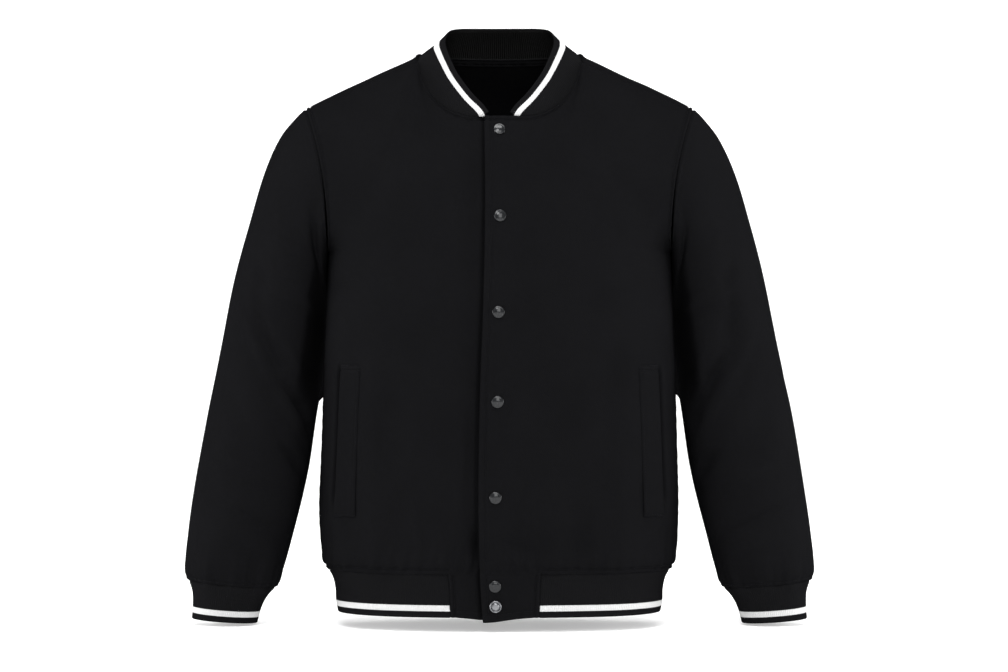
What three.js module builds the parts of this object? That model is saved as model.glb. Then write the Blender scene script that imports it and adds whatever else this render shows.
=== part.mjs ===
// Varsity jacket in its worn, hollow form, in millimetres with +Z up and the front towards -Y.
// The origin is the middle of the neck base, where the wearer's shoulders carry the jacket.
// Lengths across a half of the jacket count outwards from the centre line.

import * as THREE from 'three';

const { lerp, clamp, smoothstep, degToRad } = THREE.MathUtils;

// Cloth and seams
const clothThickness = 2;
const ribThickness = 2.4;
const tapeThickness = 1;
const tapeGap = 1.2;
const seamTrim = 0.2;
const creaseTrim = 0.7;
const layerGap = 0.45;

// Heights
const hemBandDepth = 53;
const hemSeamHeight = -608;
const armpitHeight = -236;
const frontNeckHeight = -74;
const backNeckHeight = 5;

// Across the torso: how square its section is, and where the neck meets the shoulder seam
const squareness = 0.82;
const shoulderAngle = 45;
const neckShare = 0.38;
const shoulderStart = 0.1; // where across the back its shoulders begin to round over

// How the panels' tops are drawn up to the neck and shoulder seams: the powers are their share of the height
const topPull = { depth: 2.6, width: 2, cornerBlur: 0.34, blurSteps: [-1, -0.5, 0, 0.5, 1] };

// Armhole: a ring that leans outwards at the shoulder, with the shoulder seam ahead of its top
const armhole = { middle: 218.75, lean: 13.25, hollow: 10, depth: 70, height: -149, rise: 87 };
const frontArmholeAngle = 167.6;
const backArmholeAngle = 192.4;
const shoulderRidge = { height: 8, from: 0.15, power: 7 };

// Front overlap: the left front lies over the right front, which sinks below it near the centre
const underLap = { edge: -15, drop: 2.7, from: 24, to: 52 };
const flapRaise = { x: -2, height: 1.2, wide: 14 };
const flapDip = { depth: 6, wide: 26 };
const tabWidth = { right: 54, left: 45.6 };

// Gathers
const hemGather = { waves: 4, height: 1.8, fade: 34 };
const cuffGather = { waves: 9, height: 1.7, fade: 34 };
const cuffBlend = 8;

// Pieces sewn or riveted on
const snapRadius = 7.5;
const snapThickness = 2.4;
const snapSides = 16;
const tapeHeight = 8;
const tapeDrop = 1;
const weltThickness = 1.8;

const front = -1;
const back = 1;

// Side seam: half the torso's width and how far back the seam lies
const sideRows = [
  { height: -661, half: 192.8, y: -4 },
  { height: -650, half: 195, y: -4 },
  { height: -634, half: 196, y: -4 },
  { height: -619, half: 199.5, y: -5 },
  { height: -608, half: 205.5, y: -6 },
  { height: -597, half: 210.2, y: -6 },
  { height: -577, half: 212.8, y: -7 },
  { height: -532, half: 214, y: -8 },
  { height: -490, half: 212.5, y: -10 },
  { height: -391, half: 209.5, y: -18 },
  { height: -320, half: 207, y: -20 },
  { height: -236, half: 205.5, y: 0 },
];

// Centre front and centre back: how far each lies from the middle of the body
const frontRows = [
  { height: -661, depth: 104 },
  { height: -634, depth: 105 },
  { height: -608, depth: 108.5 },
  { height: -590, depth: 111.5 },
  { height: -532, depth: 114 },
  { height: -391, depth: 121 },
  { height: -300, depth: 124 },
  { height: -236, depth: 122 },
  { height: -180, depth: 115 },
  { height: -130, depth: 101 },
  { height: -74, depth: 76 },
];
const backRows = [
  { height: -661, depth: 94 },
  { height: -634, depth: 95.5 },
  { height: -608, depth: 100 },
  { height: -590, depth: 103.5 },
  { height: -532, depth: 103 },
  { height: -391, depth: 96 },
  { height: -300, depth: 97 },
  { height: -236, depth: 102 },
  { height: -170, depth: 106 },
  { height: -100, depth: 100 },
  { height: -50, depth: 86 },
  { height: 5, depth: 62 },
];

// Neck seam from the centre line (0) to the shoulder seam (1)
const frontNeckRows = [
  { at: 0, x: 0, y: -75, z: -74 },
  { at: 0.18, x: 22, y: -73.5, z: -74 },
  { at: 0.33, x: 39, y: -70, z: -73 },
  { at: 0.48, x: 57, y: -62, z: -67 },
  { at: 0.62, x: 71, y: -52, z: -57.5 },
  { at: 0.75, x: 83, y: -40, z: -44 },
  { at: 0.88, x: 92, y: -26, z: -27 },
  { at: 1, x: 98, y: -12, z: -5 },
];
const backNeckRows = [
  { at: 0, x: 0, y: 62, z: 5 },
  { at: 0.2, x: 27, y: 60, z: 5 },
  { at: 0.4, x: 54, y: 52, z: 5 },
  { at: 0.6, x: 77, y: 37.5, z: 5 },
  { at: 0.8, x: 93, y: 16, z: 4 },
  { at: 0.9, x: 97.5, y: 3, z: 1.5 },
  { at: 1, x: 98, y: -12, z: -5 },
];

// Top edge of the collar from the centre back (0) to its front end (1)
const collarTopRows = [
  { at: 0, x: 0, y: 55, z: 40 },
  { at: 0.13, x: 31, y: 52.5, z: 39.8 },
  { at: 0.22, x: 50, y: 45, z: 38.8 },
  { at: 0.29, x: 61, y: 32, z: 35.5 },
  { at: 0.36, x: 66.3, y: 16, z: 27 },
  { at: 0.42, x: 66.5, y: 3, z: 19 },
  { at: 0.5, x: 64.8, y: -12, z: 11 },
  { at: 0.61, x: 59, y: -27, z: -4.8 },
  { at: 0.7, x: 52, y: -40, z: -20 },
  { at: 0.8, x: 41, y: -52, z: -36.7 },
  { at: 0.88, x: 31, y: -62, z: -49.5 },
  { at: 0.95, x: 20, y: -68, z: -60.5 },
  { at: 1, x: 13, y: -72, z: -69.4 },
];
const collarShoulderShare = 0.49;
const collarEnd = 0.14;
const collarBulge = 2.2;

// Edge of the upper front, across from the centre line
const flapRows = [
  { height: -661, x: -18.5 },
  { height: -608, x: -22 },
  { height: -520, x: -23.5 },
  { height: -400, x: -21.5 },
  { height: -290, x: -17.5 },
  { height: -180, x: -15.5 },
  { height: -74, x: -17 },
];

// Sleeve rings down the arm: outer and inner edge, half depth and middle from front to back
const sleeveRows = [
  { at: 0, outX: 232, outZ: -62, inX: 205.5, inZ: -236, depth: 70, y: 0, hollow: 10 },
  { at: 12, outX: 241.5, outZ: -69.5, inX: 206.5, inZ: -244, depth: 71, y: 2, hollow: 8 },
  { at: 45, outX: 263, outZ: -95.5, inX: 207.5, inZ: -264, depth: 72, y: 9, hollow: 3 },
  { at: 95, outX: 284, outZ: -141, inX: 206, inZ: -297, depth: 71, y: 15, hollow: 0 },
  { at: 155, outX: 302, outZ: -200, inX: 206, inZ: -331, depth: 70, y: 17, hollow: 0 },
  { at: 225, outX: 320, outZ: -268, inX: 208.5, inZ: -366, depth: 69, y: 17, hollow: 0 },
  { at: 308, outX: 337, outZ: -350, inX: 214, inZ: -407, depth: 67, y: 16, hollow: 0 },
  { at: 379, outX: 351, outZ: -420, inX: 223.5, inZ: -461, depth: 65, y: 13, hollow: 0 },
  { at: 460, outX: 364, outZ: -500, inX: 237, inZ: -527, depth: 62, y: 8, hollow: 0 },
  { at: 533, outX: 374, outZ: -572, inX: 252, inZ: -586, depth: 60, y: 4, hollow: 0 },
  { at: 566, outX: 377, outZ: -605, inX: 260.5, inZ: -613, depth: 57, y: 2, hollow: 0 },
  { at: 588, outX: 372.5, outZ: -626, inX: 270, inZ: -635, depth: 47, y: 1, hollow: 0 },
];
const cuffRows = [
  { at: 0, outX: 372.5, outZ: -626, inX: 270, inZ: -635, depth: 47, y: 1, hollow: 0 },
  { at: 15, outX: 368.6, outZ: -640, inX: 279, inZ: -646, depth: 38, y: 0, hollow: 0 },
  { at: 32, outX: 368, outZ: -656, inX: 286, inZ: -660, depth: 33.5, y: 0, hollow: 0 },
  { at: 47, outX: 369, outZ: -672, inX: 291, inZ: -678, depth: 31.5, y: 0, hollow: 0 },
];

// Soft folds in the body, each at a place across and up, with its half widths and its height
const torsoFolds = {
  right: [
    { x: 30, z: -586, wide: 10, tall: 42, height: -3.4 },
    { x: 66, z: -590, wide: 13, tall: 34, height: 2 },
    { x: 128, z: -584, wide: 15, tall: 44, height: -2.6 },
    { x: 178, z: -572, wide: 16, tall: 46, height: -3 },
    { x: 205, z: -540, wide: 20, tall: 60, height: 2 },
    { x: 170, z: -250, wide: 26, tall: 46, height: -3.4 },
  ],
  left: [
    { x: 40, z: -584, wide: 16, tall: 18, height: -2.2 },
    { x: 96, z: -588, wide: 15, tall: 36, height: -2.4 },
    { x: 150, z: -582, wide: 16, tall: 46, height: 2 },
    { x: 184, z: -570, wide: 16, tall: 46, height: -3 },
    { x: 172, z: -250, wide: 26, tall: 46, height: -3.4 },
  ],
  back: [
    { x: 0, z: -560, wide: 30, tall: 60, height: 2.4 },
    { x: 70, z: -575, wide: 20, tall: 52, height: -3 },
    { x: -74, z: -575, wide: 20, tall: 52, height: -3 },
    { x: 150, z: -565, wide: 22, tall: 60, height: -3 },
    { x: -146, z: -565, wide: 22, tall: 60, height: -3 },
    { x: 150, z: -240, wide: 30, tall: 60, height: -4 },
    { x: -150, z: -240, wide: 30, tall: 60, height: -4 },
  ],
};

// Sleeve folds: millimetres round the sleeve to a degree, how far a fold runs past its ends, how low
// it is there, and how far down from the armhole the sleeve is plain
const roundPerDegree = 1.15;
const foldLength = 30;
const foldEnds = 0.12;
const plainTop = 60;

// Where each fold starts and ends down the arm and round it (0 inner, 90 front, 180 outer)
const sleeveFolds = {
  right: [
    { at: 205, angle: 150, endAt: 330, endAngle: 40, wide: 24, height: -6 },
    { at: 150, angle: 120, endAt: 270, endAngle: 20, wide: 20, height: 2.6 },
    { at: 330, angle: 120, endAt: 420, endAngle: 10, wide: 20, height: -3.4 },
    { at: 470, angle: 140, endAt: 520, endAngle: 30, wide: 16, height: -2.6 },
    { at: 260, angle: 300, endAt: 340, endAngle: 200, wide: 24, height: -5 },
    { at: 420, angle: 310, endAt: 480, endAngle: 210, wide: 20, height: -3 },
  ],
  left: [
    { at: 240, angle: 128, endAt: 335, endAngle: 28, wide: 24, height: -6 },
    { at: 165, angle: 118, endAt: 280, endAngle: 20, wide: 20, height: 2.6 },
    { at: 350, angle: 128, endAt: 430, endAngle: 12, wide: 20, height: -3.2 },
    { at: 480, angle: 130, endAt: 525, endAngle: 26, wide: 16, height: -2.6 },
    { at: 260, angle: 300, endAt: 340, endAngle: 200, wide: 24, height: -5 },
    { at: 420, angle: 310, endAt: 480, endAngle: 210, wide: 20, height: -3 },
  ],
};

// Pocket welts: inner and outer edge at the top and at the bottom
const welt = {
  top: { height: -367.6, inner: 162, outer: 184.6 },
  bottom: { height: -546, inner: 171, outer: 192.3 },
};

// Snaps down the upper front
const snapRows = [
  { x: 0, height: -89.7 },
  { x: 0.8, height: -193.8 },
  { x: -1, height: -305.8 },
  { x: -2.1, height: -410 },
  { x: -4.5, height: -521.5 },
  { x: -5, height: -625.2 },
  { x: -4.5, height: -649 },
];

// Grid lines of the panels, counted from the hem seam (0) over the armpit (1) to the top (2)
const bandLevels = [-1, -0.5];
const bodyLevels = [0, 0.03, 0.08, 0.18, 0.31, 0.45, 0.62, 0.81];
const chestLevels = [1, 1.13, 1.27, 1.41, 1.55, 1.68, 1.8, 1.9, 1.96, 2];
const overlapColumns = 4;
const neckColumns = 5;
const shoulderColumns = 11;
const backNeckColumns = 6;
const backShoulderColumns = 10;
const sleeveColumns = 18;
const sleeveLevels = [0, 12, 36, 72, 115, 160, 208, 256, 304, 352, 400, 450, 500, 533, 556, 574, 588];
const cuffLevels = [0, 15, 31, 47];
const collarLevels = [0, 0.33, 0.67, 1];
const weltRows = 10;
const weltColumns = 3;

const materials = {
  shell: new THREE.MeshStandardMaterial({ color: '#1b1b1e', roughness: 0.95, metalness: 0 }),
  rib: new THREE.MeshStandardMaterial({ color: '#1a191b', roughness: 0.95, metalness: 0 }),
  tape: new THREE.MeshStandardMaterial({ color: '#202022', roughness: 0.9, metalness: 0 }),
  snap: new THREE.MeshStandardMaterial({ color: '#54565a', roughness: 0.35, metalness: 0.9 }),
};

// Curves

// A smooth curve through one column of a table, with each row's slope taken from the rows beside it
function smooth(rows, key, at, column) {
  const slope = (i) => {
    const before = rows[Math.max(i - 1, 0)];
    const after = rows[Math.min(i + 1, rows.length - 1)];
    return (after[column] - before[column]) / (after[key] - before[key]);
  };
  let i = 1;
  while (i < rows.length - 1 && at > rows[i][key]) i += 1;
  const span = rows[i][key] - rows[i - 1][key];
  const t = clamp((at - rows[i - 1][key]) / span, 0, 1);
  const rise = rows[i][column] - rows[i - 1][column];
  const leave = slope(i - 1) * span - rise;
  const arrive = rise - slope(i) * span;
  return rows[i - 1][column] + t * rise + t * (1 - t) * (leave * (1 - t) + arrive * t);
}

function smoothPoint(rows, at) {
  return new THREE.Vector3(...['x', 'y', 'z'].map((column) => smooth(rows, 'at', at, column)));
}

const roundSine = (angle) => Math.sin(degToRad(angle)) ** squareness;
const roundCosine = (angle) => Math.max(Math.cos(degToRad(angle)), 0) ** squareness;

// Torso

// The armhole's edge of one panel, from the armpit (0) to the shoulder seam (1)
function armholePoint(side, share) {
  const angle = degToRad(share * (side === front ? frontArmholeAngle : backArmholeAngle));
  return new THREE.Vector3(
    armhole.middle - armhole.lean * Math.cos(angle) - armhole.hollow * Math.sin(angle) ** 2,
    side * armhole.depth * Math.sin(angle),
    armhole.height - armhole.rise * Math.cos(angle),
  );
}

// The height of a level at the centre line, and across the back, whose shoulders round over sooner
function levelHeight(side, level, across = 0) {
  if (level <= 0) return hemSeamHeight + level * hemBandDepth;
  if (level <= 1) return lerp(hemSeamHeight, armpitHeight, level);
  const share = level - 1;
  if (side === front) return lerp(armpitHeight, frontNeckHeight, share);
  const rounded = Math.sin(share * Math.PI / 2);
  const rise = lerp(share, rounded, smoothstep(across, shoulderStart, neckShare));
  return lerp(armpitHeight, backNeckHeight, rise);
}

function levelAt(height) {
  if (height < hemSeamHeight) return (height - hemSeamHeight) / hemBandDepth;
  if (height < armpitHeight) return (height - hemSeamHeight) / (armpitHeight - hemSeamHeight);
  return 1 + (height - armpitHeight) / (frontNeckHeight - armpitHeight);
}

// One section of the torso, rounded from the centre line (0) to the side seam or armhole (1)
function section(side, across, level) {
  const z = levelHeight(side, level);
  const centre = side * smooth(side === front ? frontRows : backRows, 'height', z, 'depth');
  const share = Math.max(level - 1, 0);
  const edge = level > 1 ? armholePoint(side, share) : new THREE.Vector3(
    smooth(sideRows, 'height', z, 'half'),
    smooth(sideRows, 'height', z, 'y'),
    z,
  );
  const turn = lerp(90, shoulderAngle, share * (2 - share));
  const middle = (edge.y - centre * roundCosine(turn)) / (1 - roundCosine(turn));
  return new THREE.Vector3(
    edge.x * roundSine(across * turn) / roundSine(turn),
    middle - (middle - centre) * roundCosine(across * turn),
    lerp(levelHeight(side, level, across), edge.z, across * across),
  );
}

// The neck seam and, beyond it, the shoulder seam
function topEdge(side, across) {
  const rows = side === front ? frontNeckRows : backNeckRows;
  if (across <= neckShare) return smoothPoint(rows, across / neckShare);
  return smoothPoint(rows, 1).lerp(armholePoint(side, 1), (across - neckShare) / (1 - neckShare));
}

// How far the top edge lies from the plain section there, with the neck's corner softened lower down
function topShift(side, reach, share) {
  const blur = Math.min(topPull.cornerBlur, 1 - reach) * (1 - share);
  const places = topPull.blurSteps.map((step) => Math.abs(reach + step * blur));
  return places.reduce((sum, place) => (
    sum.addScaledVector(topEdge(side, place).sub(section(side, place, 2)), 1 / places.length)
  ), new THREE.Vector3());
}

// The body's surface before its folds
function torsoForm(side, across, level) {
  const reach = Math.abs(across);
  const point = section(side, reach, level);
  if (level > 1) {
    const share = level - 1;
    const shift = topShift(side, reach, share);
    point.x += shift.x * share ** topPull.width;
    point.y += shift.y * share ** topPull.depth;
    point.z += shift.z * Math.sin(share * Math.PI / 2);
    if (side === back) {
      const fade = Math.sqrt(Math.min((1 - reach) / (1 - neckShare), 1));
      const ridge = smoothstep(reach, shoulderRidge.from, neckShare) * fade;
      point.z += shoulderRidge.height * ridge * Math.sin(Math.PI * share ** shoulderRidge.power);
    }
  }
  if (across < 0) point.x = -point.x;
  return point;
}

// The place across a panel at which its surface lies x from the centre line, found by halving
function acrossAt(side, level, x) {
  const halvings = 30;
  let low = -0.3;
  let high = 1;
  for (let i = 0; i < halvings; i += 1) {
    const middle = (low + high) / 2;
    if (torsoForm(side, middle, level).x < x) low = middle;
    else high = middle;
  }
  return (low + high) / 2;
}

const tabAcross = {
  right: acrossAt(front, -0.5, tabWidth.right),
  left: acrossAt(front, -0.5, tabWidth.left),
};

function foldHeight(folds, point) {
  return folds.reduce((sum, fold) => sum + fold.height * Math.exp(
    -(((point.x - fold.x) / fold.wide) ** 2) - ((point.z - fold.z) / fold.tall) ** 2,
  ), 0);
}

// The gathers above and below the hem seam, counted from the tab (or the centre back) to the side
function hemRipple(across, start, z) {
  if (across < start) return 0;
  const phase = 2 * Math.PI * hemGather.waves * (across - start) / (1 - start);
  const fade = z > hemSeamHeight ? hemGather.fade : hemGather.fade / 4;
  return hemGather.height * (1 - Math.cos(phase)) / 2 * Math.exp(-Math.abs(z - hemSeamHeight) / fade);
}

// A point of the body with its folds: hand is 'right' or 'left' for a front, and 'back' for the back
function torsoPoint(hand, across, level) {
  const side = hand === 'back' ? back : front;
  const point = torsoForm(side, across, level);
  const turn = Math.abs(across) * Math.PI / 2;
  const start = hand === 'back' ? 0 : tabAcross[hand];
  let height = foldHeight(torsoFolds[hand], point) + hemRipple(Math.abs(across), start, point.z);
  if (hand === 'right') height -= underLap.drop * (1 - smoothstep(point.x, underLap.from, underLap.to));
  if (hand === 'left') {
    height += flapRaise.height * Math.exp(-(((point.x - flapRaise.x) / flapRaise.wide) ** 2));
  }
  point.x += Math.sign(across) * height * Math.sin(turn);
  point.y += side * height * Math.cos(turn);
  if (hand !== 'back' && level < 0) {
    point.z += level * flapDip.depth * Math.exp(-((point.x / flapDip.wide) ** 2));
  }
  if (hand === 'right') point.x = -point.x;
  return point;
}

// Sleeve and cuff

function ringPoint(rows, at, angle) {
  const ring = (column) => smooth(rows, 'at', at, column);
  const outX = ring('outX');
  const outZ = ring('outZ');
  const inX = ring('inX');
  const inZ = ring('inZ');
  const turn = degToRad(angle);
  return new THREE.Vector3(
    (outX + inX) / 2 - (outX - inX) / 2 * Math.cos(turn) - ring('hollow') * Math.sin(turn) ** 2,
    ring('y') - ring('depth') * Math.sin(turn),
    (outZ + inZ) / 2 - (outZ - inZ) / 2 * Math.cos(turn),
  );
}

// The height of the sleeve's folds and of its gathers above the cuff
function sleeveHeight(hand, at, angle) {
  const folds = sleeveFolds[hand].reduce((sum, fold) => {
    const share = clamp((at - fold.at) / (fold.endAt - fold.at), 0, 1);
    const along = at - lerp(fold.at, fold.endAt, share);
    const round = (angle - lerp(fold.angle, fold.endAngle, share)) * roundPerDegree;
    const ends = Math.sin(Math.PI * clamp(share, foldEnds, 1 - foldEnds));
    return sum + fold.height * ends * Math.exp(-((along / foldLength) ** 2) - (round / fold.wide) ** 2);
  }, 0);
  const gather = cuffGather.height * Math.cos(cuffGather.waves * degToRad(angle));
  const end = sleeveRows[sleeveRows.length - 1].at;
  return folds + gather * Math.exp(-(((end - at) / cuffGather.fade) ** 2));
}

function sleevePoint(hand, at, angle) {
  const point = ringPoint(sleeveRows, at, angle);
  const centre = ringPoint(sleeveRows, at, 0).lerp(ringPoint(sleeveRows, at, 180), 0.5);
  const away = point.clone().sub(centre).normalize();
  const free = smoothstep(at, 0, plainTop);
  return point.addScaledVector(away, free * sleeveHeight(hand, at, (angle + 360) % 360));
}

// Solids

function mirrored(points) {
  return points.map((row) => row.map((point) => new THREE.Vector3(-point.x, point.y, point.z)));
}

// Moves the first or last row, or the ends of each row, towards the next points
function trimmed(points, edges) {
  const rows = points.map((row) => row.map((point) => point.clone()));
  const pull = (row, column, toRow, toColumn, amount) => {
    const way = points[toRow][toColumn].clone().sub(points[row][column]).setLength(amount);
    rows[row][column].add(way);
  };
  const lastRow = points.length - 1;
  const lastColumn = points[0].length - 1;
  for (let i = 0; i <= lastColumn; i += 1) {
    if (edges.bottom) pull(0, i, 1, i, edges.bottom);
    if (edges.top) pull(lastRow, i, lastRow - 1, i, edges.top);
  }
  for (let j = 0; j <= lastRow; j += 1) {
    if (edges.start) pull(j, 0, j, 1, edges.start);
    if (edges.end) pull(j, lastColumn, j, lastColumn - 1, edges.end);
  }
  return rows;
}

// The unit normals of a grid of points, on the side that its rows and columns turn to
function gridNormals(points, closed) {
  const lastRow = points.length - 1;
  const count = points[0].length;
  return points.map((row, j) => row.map((point, i) => {
    const before = closed ? (i + count - 1) % count : Math.max(i - 1, 0);
    const after = closed ? (i + 1) % count : Math.min(i + 1, count - 1);
    const along = row[after].clone().sub(row[before]);
    const up = points[Math.min(j + 1, lastRow)][i].clone().sub(points[Math.max(j - 1, 0)][i]);
    return along.cross(up).normalize();
  }));
}

// A closed wall between two grids of points: keep says which cells it fills
function wallBetween(outer, inner, { closed = false, keep = () => true } = {}) {
  const rowCount = outer.length;
  const columnCount = outer[0].length;
  const cellColumns = closed ? columnCount : columnCount - 1;
  const filled = (i, j) => {
    if (j < 0 || j >= rowCount - 1) return false;
    if (!closed && (i < 0 || i >= cellColumns)) return false;
    return keep((i + cellColumns) % cellColumns, j);
  };
  const positions = [];
  const numbers = new Map();
  const vertex = (layer, i, j) => {
    const column = i % columnCount;
    const key = `${layer} ${column} ${j}`;
    if (!numbers.has(key)) {
      numbers.set(key, positions.length / 3);
      positions.push(...(layer ? inner : outer)[j][column].toArray());
    }
    return numbers.get(key);
  };
  const index = [];
  const quad = (a, b, c, d) => index.push(a, b, c, a, c, d);
  for (let j = 0; j < rowCount - 1; j += 1) {
    for (let i = 0; i < cellColumns; i += 1) {
      if (filled(i, j)) {
        const corners = [[i, j], [i + 1, j], [i + 1, j + 1], [i, j + 1]];
        const [a, b, c, d] = corners.map(([x, y]) => outer[y][x % columnCount]);
        const turned = a.distanceTo(c) > b.distanceTo(d) ? [...corners.slice(1), corners[0]] : corners;
        const [first, ...others] = turned.map(([x, y]) => vertex(1, x, y));
        quad(...turned.map(([x, y]) => vertex(0, x, y)));
        quad(first, ...others.reverse());
        [[i, j - 1], [i + 1, j], [i, j + 1], [i - 1, j]].forEach((beside, side) => {
          if (filled(...beside)) return;
          const [from, to] = [corners[side], corners[(side + 1) % 4]];
          quad(vertex(0, ...to), vertex(0, ...from), vertex(1, ...from), vertex(1, ...to));
        });
      }
    }
  }
  const geometry = new THREE.BufferGeometry();
  geometry.setAttribute('position', new THREE.Float32BufferAttribute(positions, 3));
  geometry.setIndex(index);
  geometry.computeVertexNormals();
  return geometry;
}

function offset(points, normals, distance) {
  return points.map((row, j) => row.map((point, i) => (
    point.clone().addScaledVector(normals[j][i], distance)
  )));
}

function wall(points, thickness, options = {}) {
  const outer = trimmed(points, options.trim ?? {});
  return wallBetween(outer, offset(outer, gridNormals(outer, options.closed), -thickness), options);
}

const jacket = new THREE.Group();

function addPiece(name, geometry, material) {
  const mesh = new THREE.Mesh(geometry, material);
  mesh.name = name;
  jacket.add(mesh);
  return mesh;
}

const spread = (from, to, count) => Array.from({ length: count + 1 }, (_, i) => lerp(from, to, i / count));
const sewnAround = { bottom: seamTrim, top: seamTrim, start: seamTrim, end: seamTrim };

// Back panel

const backColumns = [
  ...spread(-1, -neckShare, backShoulderColumns).slice(0, -1),
  ...spread(-neckShare, neckShare, 2 * backNeckColumns),
  ...spread(neckShare, 1, backShoulderColumns).slice(1),
];
const backLevels = [...bodyLevels, ...chestLevels];
const backPoints = backLevels.map((level) => (
  backColumns.map((across) => torsoPoint('back', -across, level))
));
addPiece('body_back', wall(backPoints, clothThickness, { trim: sewnAround }), materials.shell);

// Neck tape, inside the back panel below the neck seam

function neckTape() {
  const first = backShoulderColumns;
  const panel = trimmed(backPoints, sewnAround);
  const normals = gridNormals(panel, false);
  const top = panel.length - 1;
  const levels = [tapeDrop + tapeHeight, tapeDrop];
  const columns = spread(first + 1, first + 2 * backNeckColumns - 1, 2 * backNeckColumns - 2);
  const inwards = (distance) => levels.map((drop) => columns.map((column) => {
    const point = panel[top][column].clone();
    const share = drop / point.distanceTo(panel[top - 1][column]);
    const normal = normals[top][column].clone().lerp(normals[top - 1][column], share).normalize();
    return point.lerp(panel[top - 1][column], share).addScaledVector(normal, -distance);
  }));
  const near = clothThickness + tapeGap;
  return wallBetween(inwards(near), inwards(near + tapeThickness));
}
addPiece('neck_tape', neckTape(), materials.tape);

// Fronts, each with its tab down to the hem

function frontPoints(hand) {
  return [...bandLevels, ...bodyLevels, ...chestLevels].map((level) => {
    const height = levelHeight(front, level);
    const edge = hand === 'left' ? smooth(flapRows, 'height', height, 'x') : underLap.edge;
    const columns = [
      ...spread(acrossAt(front, level, edge), tabAcross[hand], overlapColumns).slice(0, -1),
      ...spread(tabAcross[hand], neckShare, neckColumns).slice(0, -1),
      ...spread(neckShare, 1, shoulderColumns),
    ];
    return columns.map((across) => torsoPoint(hand, across, level));
  });
}

function frontPanel(hand) {
  const points = frontPoints(hand);
  const bandRows = bandLevels.length;
  const hemmed = points.map((row, j) => row.map((point, i) => {
    if (j !== bandRows || i <= overlapColumns) return point;
    return point.clone().lerp(points[j + 1][i], seamTrim / point.distanceTo(points[j + 1][i]));
  }));
  const rows = hand === 'right' ? hemmed.map((row) => [...row].reverse()) : hemmed;
  const columns = rows[0].length - 1;
  const keep = (i, j) => j >= bandRows || (hand === 'right' ? columns - 1 - i : i) < overlapColumns;
  const sideEnd = hand === 'right' ? 'start' : 'end';
  return wall(rows, clothThickness, { keep, trim: { top: creaseTrim, [sideEnd]: seamTrim } });
}
addPiece('front_right', frontPanel('right'), materials.shell);
addPiece('front_left', frontPanel('left'), materials.shell);

// Hem rib, from the right front's tab round the back to the left front's tab

function hemRib() {
  const frontPart = (hand) => spread(tabAcross[hand], 1, neckColumns + shoulderColumns);
  const points = [...bandLevels, 0].map((level) => [
    ...frontPart('left').map((across) => torsoPoint('left', across, level)),
    ...backColumns.map((across) => torsoPoint('back', -across, level)).slice(1, -1),
    ...frontPart('right').reverse().map((across) => torsoPoint('right', across, level)),
  ]);
  return wall(points, ribThickness, { trim: { top: 2 * seamTrim, start: 2 * seamTrim, end: 2 * seamTrim } });
}
addPiece('hem_rib', hemRib(), materials.rib);

// Sleeves and cuffs, in columns that follow the front's armhole edge up and the back's down

const sleeveTurns = [
  ...spread(0, 1, sleeveColumns).slice(0, -1).map((share) => ({ side: front, share })),
  ...spread(1, 0, sleeveColumns).slice(0, -1).map((share) => ({ side: back, share })),
].map((turn) => ({
  ...turn,
  angle: turn.side === front ? turn.share * frontArmholeAngle : -turn.share * backArmholeAngle,
}));

// A point on the straight lines between the panels' armhole corners, which the sleeve's top follows
function armholeChord({ side, share }) {
  const shares = chestLevels.map((level) => level - 1);
  const i = Math.max(shares.findIndex((corner) => corner >= share), 1);
  const between = (share - shares[i - 1]) / (shares[i] - shares[i - 1]);
  return armholePoint(side, shares[i - 1]).lerp(armholePoint(side, shares[i]), between);
}

function sleeve(hand) {
  const rings = sleeveLevels.map((at) => sleeveTurns.map((turn) => (
    at === 0 ? armholeChord(turn) : sleevePoint(hand, at, turn.angle)
  )));
  const rows = hand === 'right' ? mirrored(rings) : rings.map((row) => row.reverse());
  return wall(rows, clothThickness, { closed: true, trim: { bottom: creaseTrim, top: creaseTrim } });
}

function cuff(hand) {
  const rings = cuffLevels.map((at) => sleeveTurns.map(({ angle }) => {
    const point = ringPoint(cuffRows, at, angle);
    const seam = sleevePoint(hand, sleeveRows[sleeveRows.length - 1].at, angle);
    const full = ringPoint(cuffRows, 0, angle);
    return point.add(seam.sub(full).multiplyScalar(Math.exp(-at / cuffBlend)));
  }));
  const rows = hand === 'right' ? mirrored(rings) : rings.map((row) => row.reverse());
  return wall(rows, ribThickness, { closed: true, trim: { bottom: seamTrim } });
}

['right', 'left'].forEach((hand) => {
  addPiece(`sleeve_${hand}`, sleeve(hand), materials.shell);
  addPiece(`cuff_${hand}`, cuff(hand), materials.rib);
});

// Collar

// Half of the collar from the centre back, in the columns of the panels it is sewn to
const collarHalf = [
  ...spread(0, 1, backNeckColumns).slice(0, -1).map((at) => ({
    seam: smoothPoint(backNeckRows, at),
    top: smoothPoint(collarTopRows, at * collarShoulderShare),
  })),
  ...[...spread(1, tabAcross.left / neckShare, neckColumns), collarEnd].map((at) => ({
    seam: smoothPoint(frontNeckRows, at),
    top: smoothPoint(collarTopRows, lerp(collarShoulderShare, 1, (1 - at) / (1 - collarEnd))),
  })),
];

function collar() {
  const half = collarLevels.map((level) => collarHalf.map(({ seam, top }) => seam.clone().lerp(top, level)));
  const flat = mirrored(half).map((row, j) => [...half[j].reverse(), ...row.slice(1)]);
  const normals = gridNormals(flat, false);
  const points = flat.map((row, j) => row.map((point, i) => (
    point.addScaledVector(normals[j][i], collarBulge * Math.sin(Math.PI * collarLevels[j]))
  )));
  return wall(points, ribThickness, { trim: { bottom: creaseTrim } });
}
addPiece('collar', collar(), materials.rib);

// Pocket welts, from the points of the front they lie on

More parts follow.
